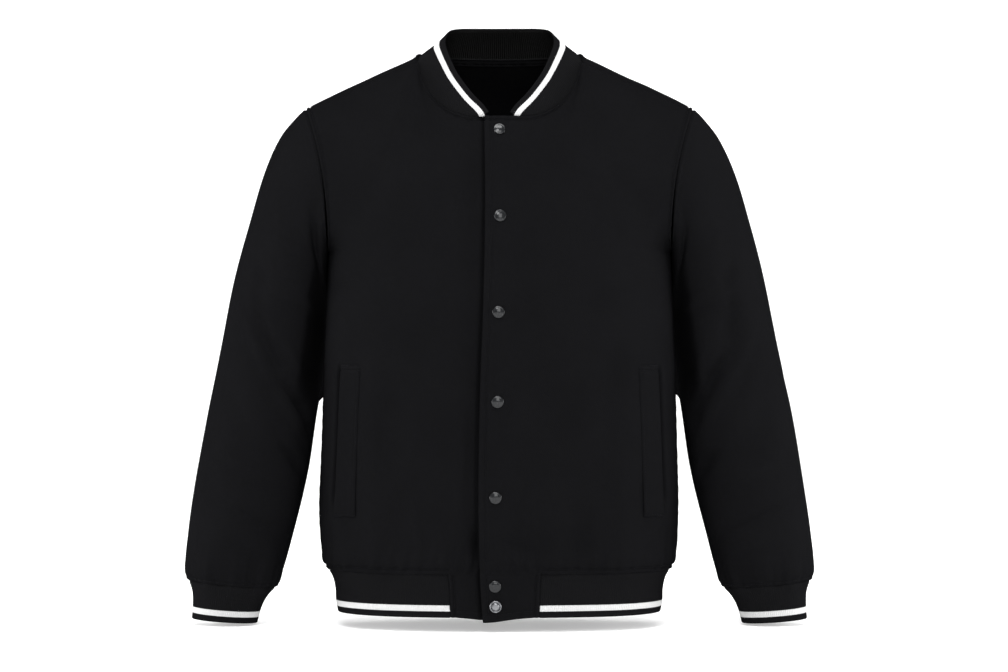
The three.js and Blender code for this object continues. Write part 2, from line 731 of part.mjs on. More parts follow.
function pocketWelt(hand) {
  const rows = spread(0, 1, weltRows).map((rise) => spread(0, 1, weltColumns).map((share) => {
    const height = lerp(welt.bottom.height, welt.top.height, rise);
    const inner = lerp(welt.bottom.inner, welt.top.inner, rise);
    const outer = lerp(welt.bottom.outer, welt.top.outer, rise);
    const level = levelAt(height);
    return torsoPoint(hand, acrossAt(front, level, lerp(inner, outer, share)), level);
  }));
  const points = hand === 'right' ? rows.map((row) => row.reverse()) : rows;
  const normals = gridNormals(points, false);
  return wallBetween(offset(points, normals, layerGap + weltThickness), offset(points, normals, layerGap));
}
['right', 'left'].forEach((hand) => {
  addPiece(`pocket_welt_${hand}`, pocketWelt(hand), materials.shell);
});

// Snap caps: a rimmed dome on the upper front

function snapGeometry() {
  const profile = [
    [0, 0],
    [snapRadius, 0],
    [snapRadius, 0.4 * snapThickness],
    [0.86 * snapRadius, 0.8 * snapThickness],
    [0.7 * snapRadius, 0.7 * snapThickness],
    [0, snapThickness],
  ].map(([radius, height]) => new THREE.Vector2(radius, height));
  return new THREE.LatheGeometry(profile, snapSides);
}

snapRows.forEach((row, i) => {
  const level = levelAt(row.height);
  const across = acrossAt(front, level, row.x);
  const nudge = 0.01;
  const point = torsoPoint('left', across, level);
  const sideways = torsoPoint('left', across + nudge, level).sub(torsoPoint('left', across - nudge, level));
  const upwards = torsoPoint('left', across, level + nudge).sub(torsoPoint('left', across, level - nudge));
  const normal = sideways.cross(upwards).normalize();
  const snap = addPiece(`snap_${i + 1}`, snapGeometry(), materials.snap);
  snap.position.copy(point.addScaledVector(normal, layerGap));
  snap.quaternion.setFromUnitVectors(new THREE.Vector3(0, 1, 0), normal);
});

export default jacket;
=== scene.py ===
# A varsity jacket, worn and hollow: brushed cloth panels, striped rib knit, stitching and snaps.
# Lengths are in millimetres until a mesh is made. The front faces -Y and the origin is the neck base.
# Levels count up the body: -1 the hem's edge, 0 the hem seam, 1 the armpit, 2 the neck or shoulder seam.

import math

import bpy
import numpy as np
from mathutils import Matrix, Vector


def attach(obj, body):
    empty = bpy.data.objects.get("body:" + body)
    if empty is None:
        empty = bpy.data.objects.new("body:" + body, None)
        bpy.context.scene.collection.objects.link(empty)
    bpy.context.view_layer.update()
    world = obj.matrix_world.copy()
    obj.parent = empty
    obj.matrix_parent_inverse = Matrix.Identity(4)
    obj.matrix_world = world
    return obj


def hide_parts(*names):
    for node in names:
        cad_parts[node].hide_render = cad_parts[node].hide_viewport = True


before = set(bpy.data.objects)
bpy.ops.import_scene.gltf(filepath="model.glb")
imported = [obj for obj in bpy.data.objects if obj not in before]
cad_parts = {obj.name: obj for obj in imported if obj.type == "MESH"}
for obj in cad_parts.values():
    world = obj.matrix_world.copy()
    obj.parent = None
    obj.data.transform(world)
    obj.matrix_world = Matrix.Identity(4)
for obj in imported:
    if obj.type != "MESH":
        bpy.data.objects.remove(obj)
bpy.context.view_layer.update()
millimetre = 0.001
metre = 1 / millimetre
front, back = -1, 1
handed = {"right": np.array([-1, 1, 1]), "left": np.array([1, 1, 1])}  # right pieces are mirrored left ones
print("frame loaded:", len(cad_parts), "nodes")


# Curves and small sums

def table(columns, *rows):  # a short table as one array for each named column
    return dict(zip(columns.split(), np.array(rows, float).T))


def mix(a, b, share):  # share 0 gives a, share 1 gives b
    return a + (b - a) * share


def ease(x, low, high):  # an S-shaped rise from 0 at low to 1 at high: 3t^2 - 2t^3
    t = np.clip((x - low) / (high - low), 0, 1)
    return t * t * (3 - 2 * t)


def hill(distance, width):  # a hill 1 high: exp(-(distance / width)^2)
    return np.exp(-((distance / width) ** 2))


def vector(*parts):  # arrays of x, y and z as one array of points
    return np.stack(np.broadcast_arrays(*parts), -1).astype(float)


def unit(vectors):
    return vectors / np.linalg.norm(vectors, axis=-1, keepdims=True)


def smooth(rows, at, column):
    # a cubic through one column of a table, keyed by its first column, whose slope at a row is taken
    # from the rows on both sides of it
    keys, values = next(iter(rows.values())), rows[column]
    last = len(keys) - 1
    beside = np.r_[0, np.arange(last + 1), last]
    slopes = (values[beside[2:]] - values[beside[:-2]]) / (keys[beside[2:]] - keys[beside[:-2]])
    i = np.clip(np.searchsorted(keys, at), 1, last)
    span = keys[i] - keys[i - 1]
    t = np.clip((at - keys[i - 1]) / span, 0, 1)
    rise = values[i] - values[i - 1]
    leave = slopes[i - 1] * span - rise
    arrive = rise - slopes[i] * span
    return values[i - 1] + t * rise + t * (1 - t) * (leave * (1 - t) + arrive * t)


def smoothPoint(rows, at):
    return vector(*(smooth(rows, at, axis) for axis in "xyz"))


def lengthAlong(points, axis=0):
    # the distance along each line of a grid from its first point: the running sum of its steps
    steps = np.linalg.norm(np.diff(points, axis=axis), axis=-1)
    first = np.zeros_like(np.take(steps, [0], axis))
    return np.concatenate([first, np.cumsum(steps, axis)], axis)


def evenPlaces(curve, start, end, step, multiple=1):
    # the places from start to end at which a curve has covered equal lengths of about one step
    tries = np.linspace(start, end, 1500)
    length = lengthAlong(curve(tries))
    count = multiple * max(round(length[-1] / step / multiple), 1)
    return np.interp(np.linspace(0, length[-1], count + 1), length, tries)


# Torso: a section at each level, rounded from the centre line to the side seam or armhole

torso = {
    "hemBandDepth": 49, "hemSeam": -612, "armpit": -236, "frontNeck": -74, "backNeck": 5,
    "squareness": 0.82, "shoulderAngle": 45, "neckShare": 0.38, "shoulderStart": 0.1,
    "topWidth": 2, "topDepth": 2.6, "cornerBlur": 0.34, "blurSteps": (-1, -0.5, 0, 0.5, 1),
    "ridgeHeight": 8, "ridgeFrom": 0.15, "ridgePower": 7, "middleBand": 0.08,
}
armhole = {"middle": 218.75, "lean": 13.25, "hollow": 10, "depth": 70, "height": -149, "rise": 87,
           front: 167.6, back: 192.4}
overlap = {  # where the fronts lie over each other: the tabs' outer edges, the under front's drop and the gully
    "right": 58, "left": 47.4, "under": -15, "drop": 4.2, "from": 22, "to": 50, "raiseAt": -10, "raise": 2.2,
    "raiseWide": 18, "gullyAt": 1.4, "gullyWide": 3.2, "gully": 4.4, "step": 1.9}
cornerDip = {  # where, how wide and how deep a lower corner hangs
    "right": (10, 26, 3.8), "left": (-20, 36, 6.0)}
hemGather = {"waves": 4, "height": 1.8, "fade": 34}

sideSeam = table(
    "height half y",
    (-661, 192.8, -4), (-650, 195, -4), (-634, 196, -4), (-619, 199.5, -5), (-608, 205.5, -6),
    (-597, 210.2, -6), (-577, 212.8, -7), (-532, 214, -8), (-490, 212.5, -10), (-391, 209.5, -18),
    (-320, 207, -20), (-236, 205.5, 0))
centre = {
    front: table(
        "height depth", (-661, 104), (-634, 105), (-608, 108.5), (-590, 111.5), (-532, 114), (-391, 121),
        (-300, 124), (-236, 122), (-180, 115), (-130, 101), (-74, 76)),
    back: table(
        "height depth", (-661, 94), (-634, 95.5), (-608, 100), (-590, 103.5), (-532, 103), (-391, 96),
        (-300, 97), (-236, 102), (-170, 106), (-100, 100), (-50, 86), (5, 62)),
}
neckSeam = {  # from the centre line (0) to the shoulder seam (1)
    front: table(
        "at x y z", (0, 0, -75, -74), (0.18, 22, -73.5, -74), (0.33, 39, -70, -73), (0.48, 57, -62, -67),
        (0.62, 71, -52, -57.5), (0.75, 83, -40, -44), (0.88, 92, -26, -27), (1, 98, -12, -5)),
    back: table(
        "at x y z", (0, 0, 62, 5), (0.2, 27, 60, 5), (0.4, 54, 52, 5), (0.6, 77, 37.5, 5),
        (0.8, 93, 16, 4), (0.9, 97.5, 3, 1.5), (1, 98, -12, -5)),
}
flapEdge = table(
    "height x", (-661, -18.5), (-608, -22), (-520, -23.5), (-400, -21.5), (-290, -17.5), (-180, -15.5),
    (-74, -17))
torsoFolds = {  # soft folds: where each lies across and up, its half widths and its height
    "right": table(
        "x z wide tall height", (28, -580, 6, 22, -9), (66, -590, 13, 34, 2), (128, -584, 15, 44, -2.6),
        (178, -572, 16, 46, -3), (205, -540, 20, 60, 2), (170, -250, 26, 46, -3.4)),
    "left": table(
        "x z wide tall height", (40, -584, 16, 18, -2.2), (96, -588, 15, 36, -2.4), (150, -582, 16, 46, 2),
        (184, -570, 16, 46, -3), (172, -250, 26, 46, -3.4)),
    "back": table(
        "x z wide tall height", (0, -560, 30, 60, 2.4), (70, -575, 20, 52, -3), (-74, -575, 20, 52, -3),
        (150, -565, 22, 60, -3), (-146, -565, 22, 60, -3), (150, -240, 30, 60, -4), (-150, -240, 30, 60, -4)),
}


def armholePoint(side, share):
    # a ring that leans outwards at the shoulder: share 0 is the armpit and 1 the shoulder seam
    turn = np.radians(share * armhole[side])
    return vector(
        armhole["middle"] - armhole["lean"] * np.cos(turn) - armhole["hollow"] * np.sin(turn) ** 2,
        side * armhole["depth"] * np.sin(turn),
        armhole["height"] - armhole["rise"] * np.cos(turn))


def levelHeight(side, level, across=0.0):
    # straight up from seam to seam, but across the back the shoulders round over sooner
    share = np.clip(level - 1, 0, 1)
    if side == back:
        rounded = np.sin(share * np.pi / 2)
        share = mix(share, rounded, ease(across, torso["shoulderStart"], torso["neckShare"]))
    top = torso["frontNeck"] if side == front else torso["backNeck"]
    lower = mix(torso["hemSeam"], torso["armpit"], np.clip(level, 0, 1))
    lower = lower + np.minimum(level, 0) * torso["hemBandDepth"]
    return np.where(level > 1, mix(torso["armpit"], top, share), lower)


def section(side, across, level):
    # x follows sin(turn)^0.82 and y follows cos(turn)^0.82, from the centre line to the section's edge
    def power(share):
        return np.clip(share, 0, None) ** torso["squareness"]
    height = levelHeight(side, level)
    middleFront = side * smooth(centre[side], height, "depth")
    share = np.clip(level - 1, 0, 1)
    seam = vector(smooth(sideSeam, height, "half"), smooth(sideSeam, height, "y"), height)
    edge = np.where((level > 1)[..., None], armholePoint(side, share), seam)
    turn = np.radians(mix(90, torso["shoulderAngle"], share * (2 - share)))
    end = power(np.cos(turn))
    axis = (edge[..., 1] - middleFront * end) / (1 - end)
    return vector(
        edge[..., 0] * power(np.sin(across * turn)) / power(np.sin(turn)),
        axis - (axis - middleFront) * power(np.cos(across * turn)),
        mix(levelHeight(side, level, across), edge[..., 2], across * across))


def topEdge(side, across):
    # the neck seam and, beyond it, the straight shoulder seam
    share = torso["neckShare"]
    neck = smoothPoint(neckSeam[side], np.clip(across / share, 0, 1))
    out = np.clip((across - share) / (1 - share), 0, 1)[..., None]
    return mix(neck, armholePoint(side, 1.0), out)


def topShift(side, reach, share):
    # how far the top edge lies from the plain section, averaged over places that close in towards the top
    blur = np.minimum(torso["cornerBlur"], 1 - reach) * (1 - share)
    places = [np.abs(reach + step * blur) for step in torso["blurSteps"]]
    top = np.full_like(reach, 2.0)
    return sum(topEdge(side, place) - section(side, place, top) for place in places) / len(places)


def torsoForm(side, across, level):
    # the section, drawn towards the neck and shoulder seams by powers of the share of the height above
    # the armpit
    across, level = np.broadcast_arrays(np.asarray(across, float), np.asarray(level, float))
    reach = np.abs(across)
    share = np.clip(level - 1, 0, 1)
    point = section(side, reach, level)
    shift = topShift(side, reach, share)
    point[..., 0] += shift[..., 0] * share ** torso["topWidth"] * np.clip(reach / torso["middleBand"], 0, 1)
    point[..., 1] += shift[..., 1] * share ** torso["topDepth"]
    point[..., 2] += shift[..., 2] * np.sin(share * np.pi / 2)
    if side == back:
        fade = np.sqrt(np.clip((1 - reach) / (1 - torso["neckShare"]), 0, 1))
        ridge = ease(reach, torso["ridgeFrom"], torso["neckShare"]) * fade
        point[..., 2] += torso["ridgeHeight"] * ridge * np.sin(np.pi * share ** torso["ridgePower"])
    point[..., 0] = np.where(across < 0, -point[..., 0], point[..., 0])
    return point


def acrossAt(side, level, x):
    # the place across a panel at which its surface lies x from the centre line, by halving
    level, x = np.broadcast_arrays(np.asarray(level, float), np.asarray(x, float))
    low, high = np.full(level.shape, -0.3), np.ones(level.shape)
    for _ in range(30):
        middle = (low + high) / 2
        short = torsoForm(side, middle, level)[..., 0] < x
        low, high = np.where(short, middle, low), np.where(short, high, middle)
    return (low + high) / 2


def levelAt(height):
    seam, armpit = torso["hemSeam"], torso["armpit"]
    below = (height - seam) / torso["hemBandDepth"]
    chest = 1 + (height - armpit) / (torso["frontNeck"] - armpit)
    return np.where(height < seam, below, np.where(height < armpit, (height - seam) / (armpit - seam), chest))


tabAcross = {hand: float(acrossAt(front, -0.5, overlap[hand])) for hand in ("right", "left")}


def torsoPoint(hand, across, level):
    # the body with its soft folds and hem gathers, each pushed out along the section's own turn;
    # hand is left, right (shown mirrored) or back
    side = back if hand == "back" else front
    point = torsoForm(side, across, level)
    x, z = point[..., 0].copy(), point[..., 2]
    folds = torsoFolds[hand]
    height = sum(
        up * hill(x - foldX, wide) * hill(z - foldZ, tall)
        for foldX, foldZ, wide, tall, up in zip(*(folds[name] for name in folds)))
    start = 0 if hand == "back" else tabAcross[hand]
    reach = np.abs(across)
    phase = 2 * np.pi * hemGather["waves"] * np.clip((reach - start) / (1 - start), 0, 1)
    fade = np.where(z > torso["hemSeam"], hemGather["fade"], hemGather["fade"] / 4)
    fromHem = np.abs(z - torso["hemSeam"])
    height = height + hemGather["height"] * (1 - np.cos(phase)) / 2 * np.exp(-fromHem / fade)
    if hand == "right":
        height = height - overlap["drop"] * (1 - ease(x, overlap["from"], overlap["to"]))
        fromFlap = x + smooth(flapEdge, z, "x") - overlap["gullyAt"]
        height = height - overlap["gully"] * hill(fromFlap, overlap["gullyWide"])
    if hand == "left":
        height = height + overlap["raise"] * hill(x - overlap["raiseAt"], overlap["raiseWide"])
    turn = reach * np.pi / 2
    point[..., 0] += np.sign(across) * height * np.sin(turn)
    point[..., 1] += side * height * np.cos(turn)
    if hand != "back":
        at, wide, deep = cornerDip[hand]
        point[..., 2] += np.minimum(level, 0) * deep * hill(point[..., 0] - at, wide)
    return point


# Meshes

def gridNormals(points, closed=False):
    # the cross product of a step along the grid and a step up it, 1 long
    along = np.roll(points, -1, 1) - np.roll(points, 1, 1) if closed else np.gradient(points, axis=1)
    return unit(np.cross(along, np.gradient(points, axis=0)))


def newPiece(name, points, faces, material, cornerUv=None):
    # an object at the origin from points in millimetres and faces of four corners
    used, faces = np.unique(faces, return_inverse=True)
    faces = faces.reshape(-1, 4)
    mesh = bpy.data.meshes.new(name)
    mesh.vertices.add(len(used))
    mesh.vertices.foreach_set("co", (points[used] * millimetre).ravel())
    mesh.loops.add(faces.size)
    mesh.loops.foreach_set("vertex_index", faces.ravel().astype(np.int32))
    mesh.polygons.add(len(faces))
    mesh.polygons.foreach_set("loop_start", np.arange(0, faces.size, 4, dtype=np.int32))
    mesh.update(calc_edges=True)
    mesh.shade_smooth()
    if cornerUv is not None:
        mesh.uv_layers.new(name="cloth").data.foreach_set("uv", (cornerUv * millimetre).ravel())
    mesh.materials.append(material)
    piece = bpy.data.objects.new(name, mesh)
    bpy.context.scene.collection.objects.link(piece)
    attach(piece, "root")
    return piece


def gridFaces(rows, columns, closed):
    # the four corners of each face of a grid, whose last column meets its first when it is closed
    j, i = np.indices((rows - 1, columns if closed else columns - 1))
    right = (i + 1) % columns
    low, high = j * columns, (j + 1) * columns
    return np.stack([low + i, low + right, high + right, high + i], -1)


def clothShell(name, points, uv, thickness, material, closed=False, keep=None, paintedShadeShift=0):
    # a closed wall: the outer skin is the grid, the inner one lies a thickness below it, and a half-round
    # rim joins them along each open edge: middle + normal * half * cos(turn) + outwards * half * sin(turn)
    normals = gridNormals(points, closed)
    corners = gridFaces(*points.shape[:2], closed)
    cornerUv = np.stack([uv[:-1, :-1], uv[:-1, 1:], uv[1:, 1:], uv[1:, :-1]], -2)
    filled = np.ones(corners.shape[:2], bool) if keep is None else keep
    padded = np.pad(filled, 1)
    if closed:
        padded[:, 0], padded[:, -1] = padded[:, -2], padded[:, 1]
    beside = [padded[:-2, 1:-1], padded[1:-1, 2:], padded[2:, 1:-1], padded[1:-1, :-2]]
    edges, edgeUv = [], []
    for side in range(4):
        isOpen = filled & ~beside[side]
        pair = [side, (side + 1) % 4]
        edges.append(corners[isOpen][:, pair])
        edgeUv.append(cornerUv[isOpen][:, pair])
    edges, edgeUv = np.concatenate(edges), np.concatenate(edgeUv)
    rim, local = np.unique(edges, return_inverse=True)
    local = local.reshape(-1, 2)
    flat, up = points.reshape(-1, 3), normals.reshape(-1, 3)
    outwards = np.zeros((len(rim), 3))
    way = flat[edges[:, 1]] - flat[edges[:, 0]]
    for end in (0, 1):
        np.add.at(outwards, local[:, end], np.cross(way, up[edges[:, end]]))
    half = thickness / 2
    turns = np.radians([30, 60, 90, 120, 150])[:, None, None]
    middle = flat[rim] - up[rim] * half
    rings = middle + up[rim] * half * np.cos(turns) + unit(outwards) * half * np.sin(turns)
    count = len(flat)
    levels = [edges, *(2 * count + ring * len(rim) + local for ring in range(len(turns))), edges + count]
    faces, faceUv = [corners[filled], corners[filled][:, ::-1] + count], [cornerUv[filled]]
    # the inner skin's uv is shifted along v; the materials darken the shifted part as painted shade
    faceUv.append(cornerUv[filled][:, ::-1] + [0, paintedShadeShift])
    for near, far in zip(levels, levels[1:]):
        faces.append(np.stack([near[:, 1], near[:, 0], far[:, 0], far[:, 1]], -1))
        faceUv.append(edgeUv[:, [1, 0, 0, 1]])
    every = np.concatenate([flat, flat - up * thickness, rings.reshape(-1, 3)])
    return newPiece(name, every, np.concatenate(faces), material, np.concatenate(faceUv))


def tubeFaces(rings, sides):
    # faces of a tube of rings, with each end filled by a strip of faces from one side to the other
    wall = gridFaces(rings, sides, True).reshape(-1, 4)
    k = np.arange(sides // 2 - 1)
    end = np.stack([k, k + 1, sides - 2 - k, sides - 1 - k], -1)
    return np.concatenate([wall, end[:, ::-1], end + (rings - 1) * sides])


def copies(faces, pointsEach, count):
    # the faces of one small shape, repeated for each of its copies
    return (faces[None] + np.arange(count)[:, None, None] * pointsEach).reshape(-1, 4)


# Finishes

def linear(colour):
    # an sRGB hex value as linear light: ((c + 0.055) / 1.055)^2.4, or c / 12.92 below 0.04045
    parts = np.array([int(colour[k:k + 2], 16) / 255 for k in (1, 3, 5)])
    light = np.where(parts > 0.04045, ((parts + 0.055) / 1.055) ** 2.4, parts / 12.92)
    return (*light, 1)


def feed(tree, node, inputs):
    # each input is a value or another node's output socket
    for key, value in inputs.items():
        if isinstance(value, bpy.types.NodeSocket):
            tree.links.new(value, node.inputs[key])
        else:
            node.inputs[key].default_value = value


def addNode(tree, kind, inputs=None, **settings):
    # one shader node with its settings and inputs
    made = tree.nodes.new("ShaderNode" + kind)
    for key, value in settings.items():
        setattr(made, key, value)
    feed(tree, made, inputs or {})
    return made


def newMaterial(name):
    material = bpy.data.materials.new(name)
    material.use_nodes = True
    tree = material.node_tree
    return material, tree, tree.nodes["Principled BSDF"]


def brushedCotton(name, colour, paler):
    # cotton fleece with a brushed face: a matt twill raised into a short nap, in slightly uneven patches;
    # v past 2 m marks the inner skin of the back, darkened to half as painted shade inside the jacket
    material, tree, shader = newMaterial(name)
    place = addNode(tree, "TexCoord").outputs["Object"]
    nap = addNode(tree, "TexNoise", {"Vector": place, "Scale": metre / 1.1, "Detail": 4, "Roughness": 0.65})
    fibres = addNode(tree, "TexNoise", {"Vector": place, "Scale": metre / 3.2, "Detail": 6, "Roughness": 0.75})
    patches = addNode(tree, "TexNoise", {"Vector": place, "Scale": metre / 60, "Detail": 3, "Roughness": 0.5})
    turned = addNode(tree, "Mapping", {"Vector": place, "Rotation": (0, math.radians(32), 0)})
    twill = addNode(tree, "TexWave", {"Vector": turned.outputs[0], "Scale": metre / (2 * np.pi),
                                      "Distortion": 1.4, "Detail": 2, "Detail Scale": 1.5}, bands_direction="X")
    tone = addNode(tree, "Mix", {0: fibres.outputs[0], 6: linear(colour), 7: linear(paler)}, data_type="RGBA")
    worn = addNode(tree, "MapRange", {"Value": patches.outputs[0], "From Min": 0.35, "From Max": 0.65,
                                      "To Min": 0.96, "To Max": 1.04})
    parts = addNode(tree, "SeparateXYZ", {0: addNode(tree, "UVMap", uv_map="cloth").outputs[0]})
    # painted shade: the colour falls to half past v 2 m, for the shadow inside the jacket's back
    paintedInnerShade = addNode(tree, "MapRange", {"Value": parts.outputs[1], "From Min": 2.0, "From Max": 2.1,
                                        "To Min": 1, "To Max": 0.5})
    level = addNode(tree, "Math", {0: worn.outputs[0], 1: paintedInnerShade.outputs[0]}, operation="MULTIPLY")
    shade = addNode(tree, "VectorMath", {0: tone.outputs[2], "Scale": level.outputs[0]}, operation="SCALE")
    weave = addNode(tree, "Bump", {"Height": twill.outputs["Color"], "Strength": 0.12, "Distance": 0.0002})
    raised = addNode(tree, "Bump", {"Height": nap.outputs[0], "Strength": 0.55, "Distance": 0.0004,
                                    "Normal": weave.outputs[0]})
    soft = addNode(tree, "Bump", {"Height": fibres.outputs[0], "Strength": 0.35, "Distance": 0.0006,
                                  "Normal": raised.outputs[0]})
    feed(tree, shader, {"Base Color": shade.outputs[0], "Normal": soft.outputs[0], "Roughness": 0.92,
                        "Specular IOR Level": 0})
    return material


def ribKnit(name, colour, stripeColour, stripeFrom, stripeTo):
    # acrylic and cotton rib knit: columns of small V stitches, with one stripe knitted in a paler yarn;
    # v on the cloth is the distance from the free edge, so the stripe keeps its width round every curve,
    # and v past 0.08 m marks the collar's inner skin, given a darker colour as painted shade
    stitchWide, stitchTall = 1.2, 1.0
    material, tree, shader = newMaterial(name)
    uv = addNode(tree, "UVMap", uv_map="cloth").outputs[0]
    parts = addNode(tree, "SeparateXYZ", {0: uv})
    across = addNode(tree, "Math", {0: parts.outputs[0], 1: metre / stitchWide}, operation="MULTIPLY")
    column = addNode(tree, "Math", {0: across.outputs[0], 1: 1.0}, operation="PINGPONG")
    down = addNode(tree, "Math", {0: parts.outputs[1], 1: metre / stitchTall}, operation="MULTIPLY")
    slant = addNode(tree, "Math", {0: column.outputs[0], 1: 0.7, 2: down.outputs[0]}, operation="MULTIPLY_ADD")
    phase = addNode(tree, "Math", {0: slant.outputs[0], 1: 2 * np.pi}, operation="MULTIPLY")
    loops = addNode(tree, "Math", {0: phase.outputs[0]}, operation="SINE")
    fuzz = addNode(tree, "TexNoise", {"Vector": addNode(tree, "TexCoord").outputs["Object"],
                                      "Scale": metre / 0.9, "Detail": 5, "Roughness": 0.7})
    stray, edge = 0.0008, 0.0003  # how far yarn strays over the stripe's edge, and how soft that edge is
    ragged = addNode(tree, "Math", {0: fuzz.outputs[0], 1: stray, 2: parts.outputs[1]}, operation="MULTIPLY_ADD")
    start, stop = stripeFrom * millimetre + stray / 2, stripeTo * millimetre + stray / 2
    begins = addNode(tree, "MapRange", {"Value": ragged.outputs[0], "From Min": start, "From Max": start + edge})
    ends = addNode(tree, "MapRange", {"Value": ragged.outputs[0], "From Min": stop - edge, "From Max": stop,
                                      "To Min": 1, "To Max": 0})
    stripe = addNode(tree, "Math", {0: begins.outputs[0], 1: ends.outputs[0]}, operation="MULTIPLY")
    yarn = addNode(tree, "MapRange", {"Value": fuzz.outputs[0], "To Min": 0.8, "To Max": 1.2})
    # painted shade: past v 0.08 m the ground turns to #0e0e0e, for the shadow inside the collar
    paintedInnerShade = addNode(tree, "MapRange", {"Value": parts.outputs[1], "From Min": 0.08, "From Max": 0.09})
    ground = addNode(tree, "Mix", {0: paintedInnerShade.outputs[0], 6: linear(colour), 7: linear("#0e0e0e")},
                     data_type="RGBA")
    tone = addNode(tree, "Mix", {0: stripe.outputs[0], 6: ground.outputs[2], 7: linear(stripeColour)},
                   data_type="RGBA")
    shade = addNode(tree, "VectorMath", {0: tone.outputs[2], "Scale": yarn.outputs[0]}, operation="SCALE")
    knitted = addNode(tree, "Bump", {"Height": loops.outputs[0], "Strength": 0.35, "Distance": 0.0003})
    fuzzy = addNode(tree, "Bump", {"Height": fuzz.outputs[0], "Strength": 0.3, "Distance": 0.0003,
                                   "Normal": knitted.outputs[0]})
    feed(tree, shader, {"Base Color": shade.outputs[0], "Normal": fuzzy.outputs[0], "Roughness": 0.88,
                        "Specular IOR Level": 0})
    return material


def sewingThread(name, colour, paler):
    # spun polyester sewing thread: a little smoother than the cloth, with a tight twist
    material, tree, shader = newMaterial(name)
    place = addNode(tree, "TexCoord").outputs["Object"]
    twist = addNode(tree, "TexNoise", {"Vector": place, "Scale": metre / 0.5, "Detail": 2})
    tone = addNode(tree, "Mix", {0: twist.outputs[0], 6: linear(colour), 7: linear(paler)}, data_type="RGBA")
    strands = addNode(tree, "Bump", {"Height": twist.outputs[0], "Strength": 0.3, "Distance": 0.0002})
    feed(tree, shader, {"Base Color": tone.outputs[2], "Normal": strands.outputs[0], "Roughness": 0.8,
                        "Specular IOR Level": 0.05})
    return material


def platedBrass(name, colour, darker, roughness, lacquer):
    # pressed and plated brass under a clear lacquer: a small sharp highlight over dull, faintly marked metal
    material, tree, shader = newMaterial(name)
    place = addNode(tree, "TexCoord").outputs["Object"]
    marks = addNode(tree, "TexNoise", {"Vector": place, "Scale": metre / 0.7, "Detail": 5, "Roughness": 0.7})
    wear = addNode(tree, "TexNoise", {"Vector": place, "Scale": metre / 4, "Detail": 3})
    tone = addNode(tree, "Mix", {0: wear.outputs[0], 6: linear(colour), 7: linear(darker)}, data_type="RGBA")
    rough = addNode(tree, "MapRange", {"Value": marks.outputs[0], "To Min": roughness - 0.08,
                                       "To Max": roughness + 0.1})
    dents = addNode(tree, "Bump", {"Height": marks.outputs[0], "Strength": 0.12, "Distance": 0.0002})
    feed(tree, shader, {"Base Color": tone.outputs[2], "Roughness": rough.outputs[0], "Normal": dents.outputs[0],
                        "Metallic": 1, "Coat Weight": lacquer, "Coat Roughness": 0.12})
    return material


finish = {
    "cotton": brushedCotton("brushedCottonFleece", "#0a0a0a", "#101012"),
    "tape": brushedCotton("wovenCottonTape", "#0a0a0b", "#111112"),
    "knit": ribKnit("stripedRibKnit", "#101011", "#b2b2b2", 6.3, 13.5),
    "thread": sewingThread("polyesterThread", "#09090a", "#131316"),
    "gunmetal": platedBrass("gunmetalPlatedBrass", "#1f2022", "#161718", 0.52, 0.5),
    "nickel": platedBrass("nickelPlatedBrass", "#7c7d80", "#5c5d60", 0.28, 0.5),
}
print("finishes made")


# Cloth detail: creases, unevenness, and what a sewn seam does to the cloth beside it

def creases(rows, u, v):
    # each crease is a ridge along a straight line, with a shallower trough on one side of it:
    # height * (hill(side, wide) - trough * hill(side - 1.7 wide, wide)), fading out over its ends
    total = np.zeros(np.broadcast(u, v).shape)
    for startU, startV, endU, endV, wide, height, trough in zip(*(rows[name] for name in rows)):
        length = math.hypot(endU - startU, endV - startV)
        wayU, wayV = (endU - startU) / length, (endV - startV) / length
        along = (u - startU) * wayU + (v - startV) * wayV
        side = (u - startU) * wayV - (v - startV) * wayU
        fade = 0.3 * length
        ends = ease(along, -fade, fade) * (1 - ease(along, length - fade, length + fade))
        total += height * ends * (hill(side, wide) - trough * hill(side - 1.7 * wide, wide))
    return total


def uneven(u, v, seed, height=0.3, shortest=38, longest=110):
    # the slight unevenness of soft cloth: a sum of waves of seeded directions, lengths and phases
    draw = np.random.default_rng(seed)
    total = 0
    for _ in range(9):
        turn, length, phase = draw.uniform(0, np.pi), draw.uniform(shortest, longest), draw.uniform(0, 2 * np.pi)
        total = total + np.sin(2 * np.pi * (u * np.cos(turn) + v * np.sin(turn)) / length + phase)
    return height * total / 3


seam = {"rollWide": 1.2, "dipWide": 1.4, "ridge": 0.7, "ridgeWide": 1.5, "puckerAt": 0.6, "puckerWide": 0.9}


def sewn(distance, along, stitch=6.0, roll=1.6, dip=1.4, pucker=0.45, period=11.0):
    # cloth beside a seam turns in at it, dips under the stitches, swells and puckers unevenly between the two
    phase = 2 * np.pi * along / period + 1.9 * np.sin(along / 23) + 1.1 * np.sin(along / 9.1)
    return (-roll * np.exp(-distance / seam["rollWide"]) - dip * hill(distance - stitch, seam["dipWide"])
            + seam["ridge"] * hill(distance - stitch / 2, seam["ridgeWide"])
            + pucker * np.sin(phase) * hill(distance - seam["puckerAt"] * stitch, seam["puckerWide"] * stitch))


edgeLines = np.array([0, 0.5, 1.1, 1.9, 2.9, 4, 5, 5.6, 6.2, 6.9, 8, 9.8, 12.2])  # close ones beside a seam


def gridLines(length, step, fineStart=True, fineEnd=True):
    # shares of a length in millimetres: even steps between the closer lines that seams need at its ends
    fine = edgeLines[edgeLines < length / 3]
    start = fine if fineStart else fine[:1]
    end = fine if fineEnd else fine[:1]
    gap = length - start[-1] - end[-1]
    middle = np.linspace(start[-1], length - end[-1], max(round(gap / step), 1) + 1)[1:-1]
    return np.concatenate([start, middle, length - end[::-1]]) / length


def joined(*parts):
    # grid lines of stretches that follow each other: each stretch is (from, to, shares)
    lines = [mix(start, end, shares) for start, end, shares in parts]
    return np.concatenate([lines[0], *(line[1:] for line in lines[1:])])


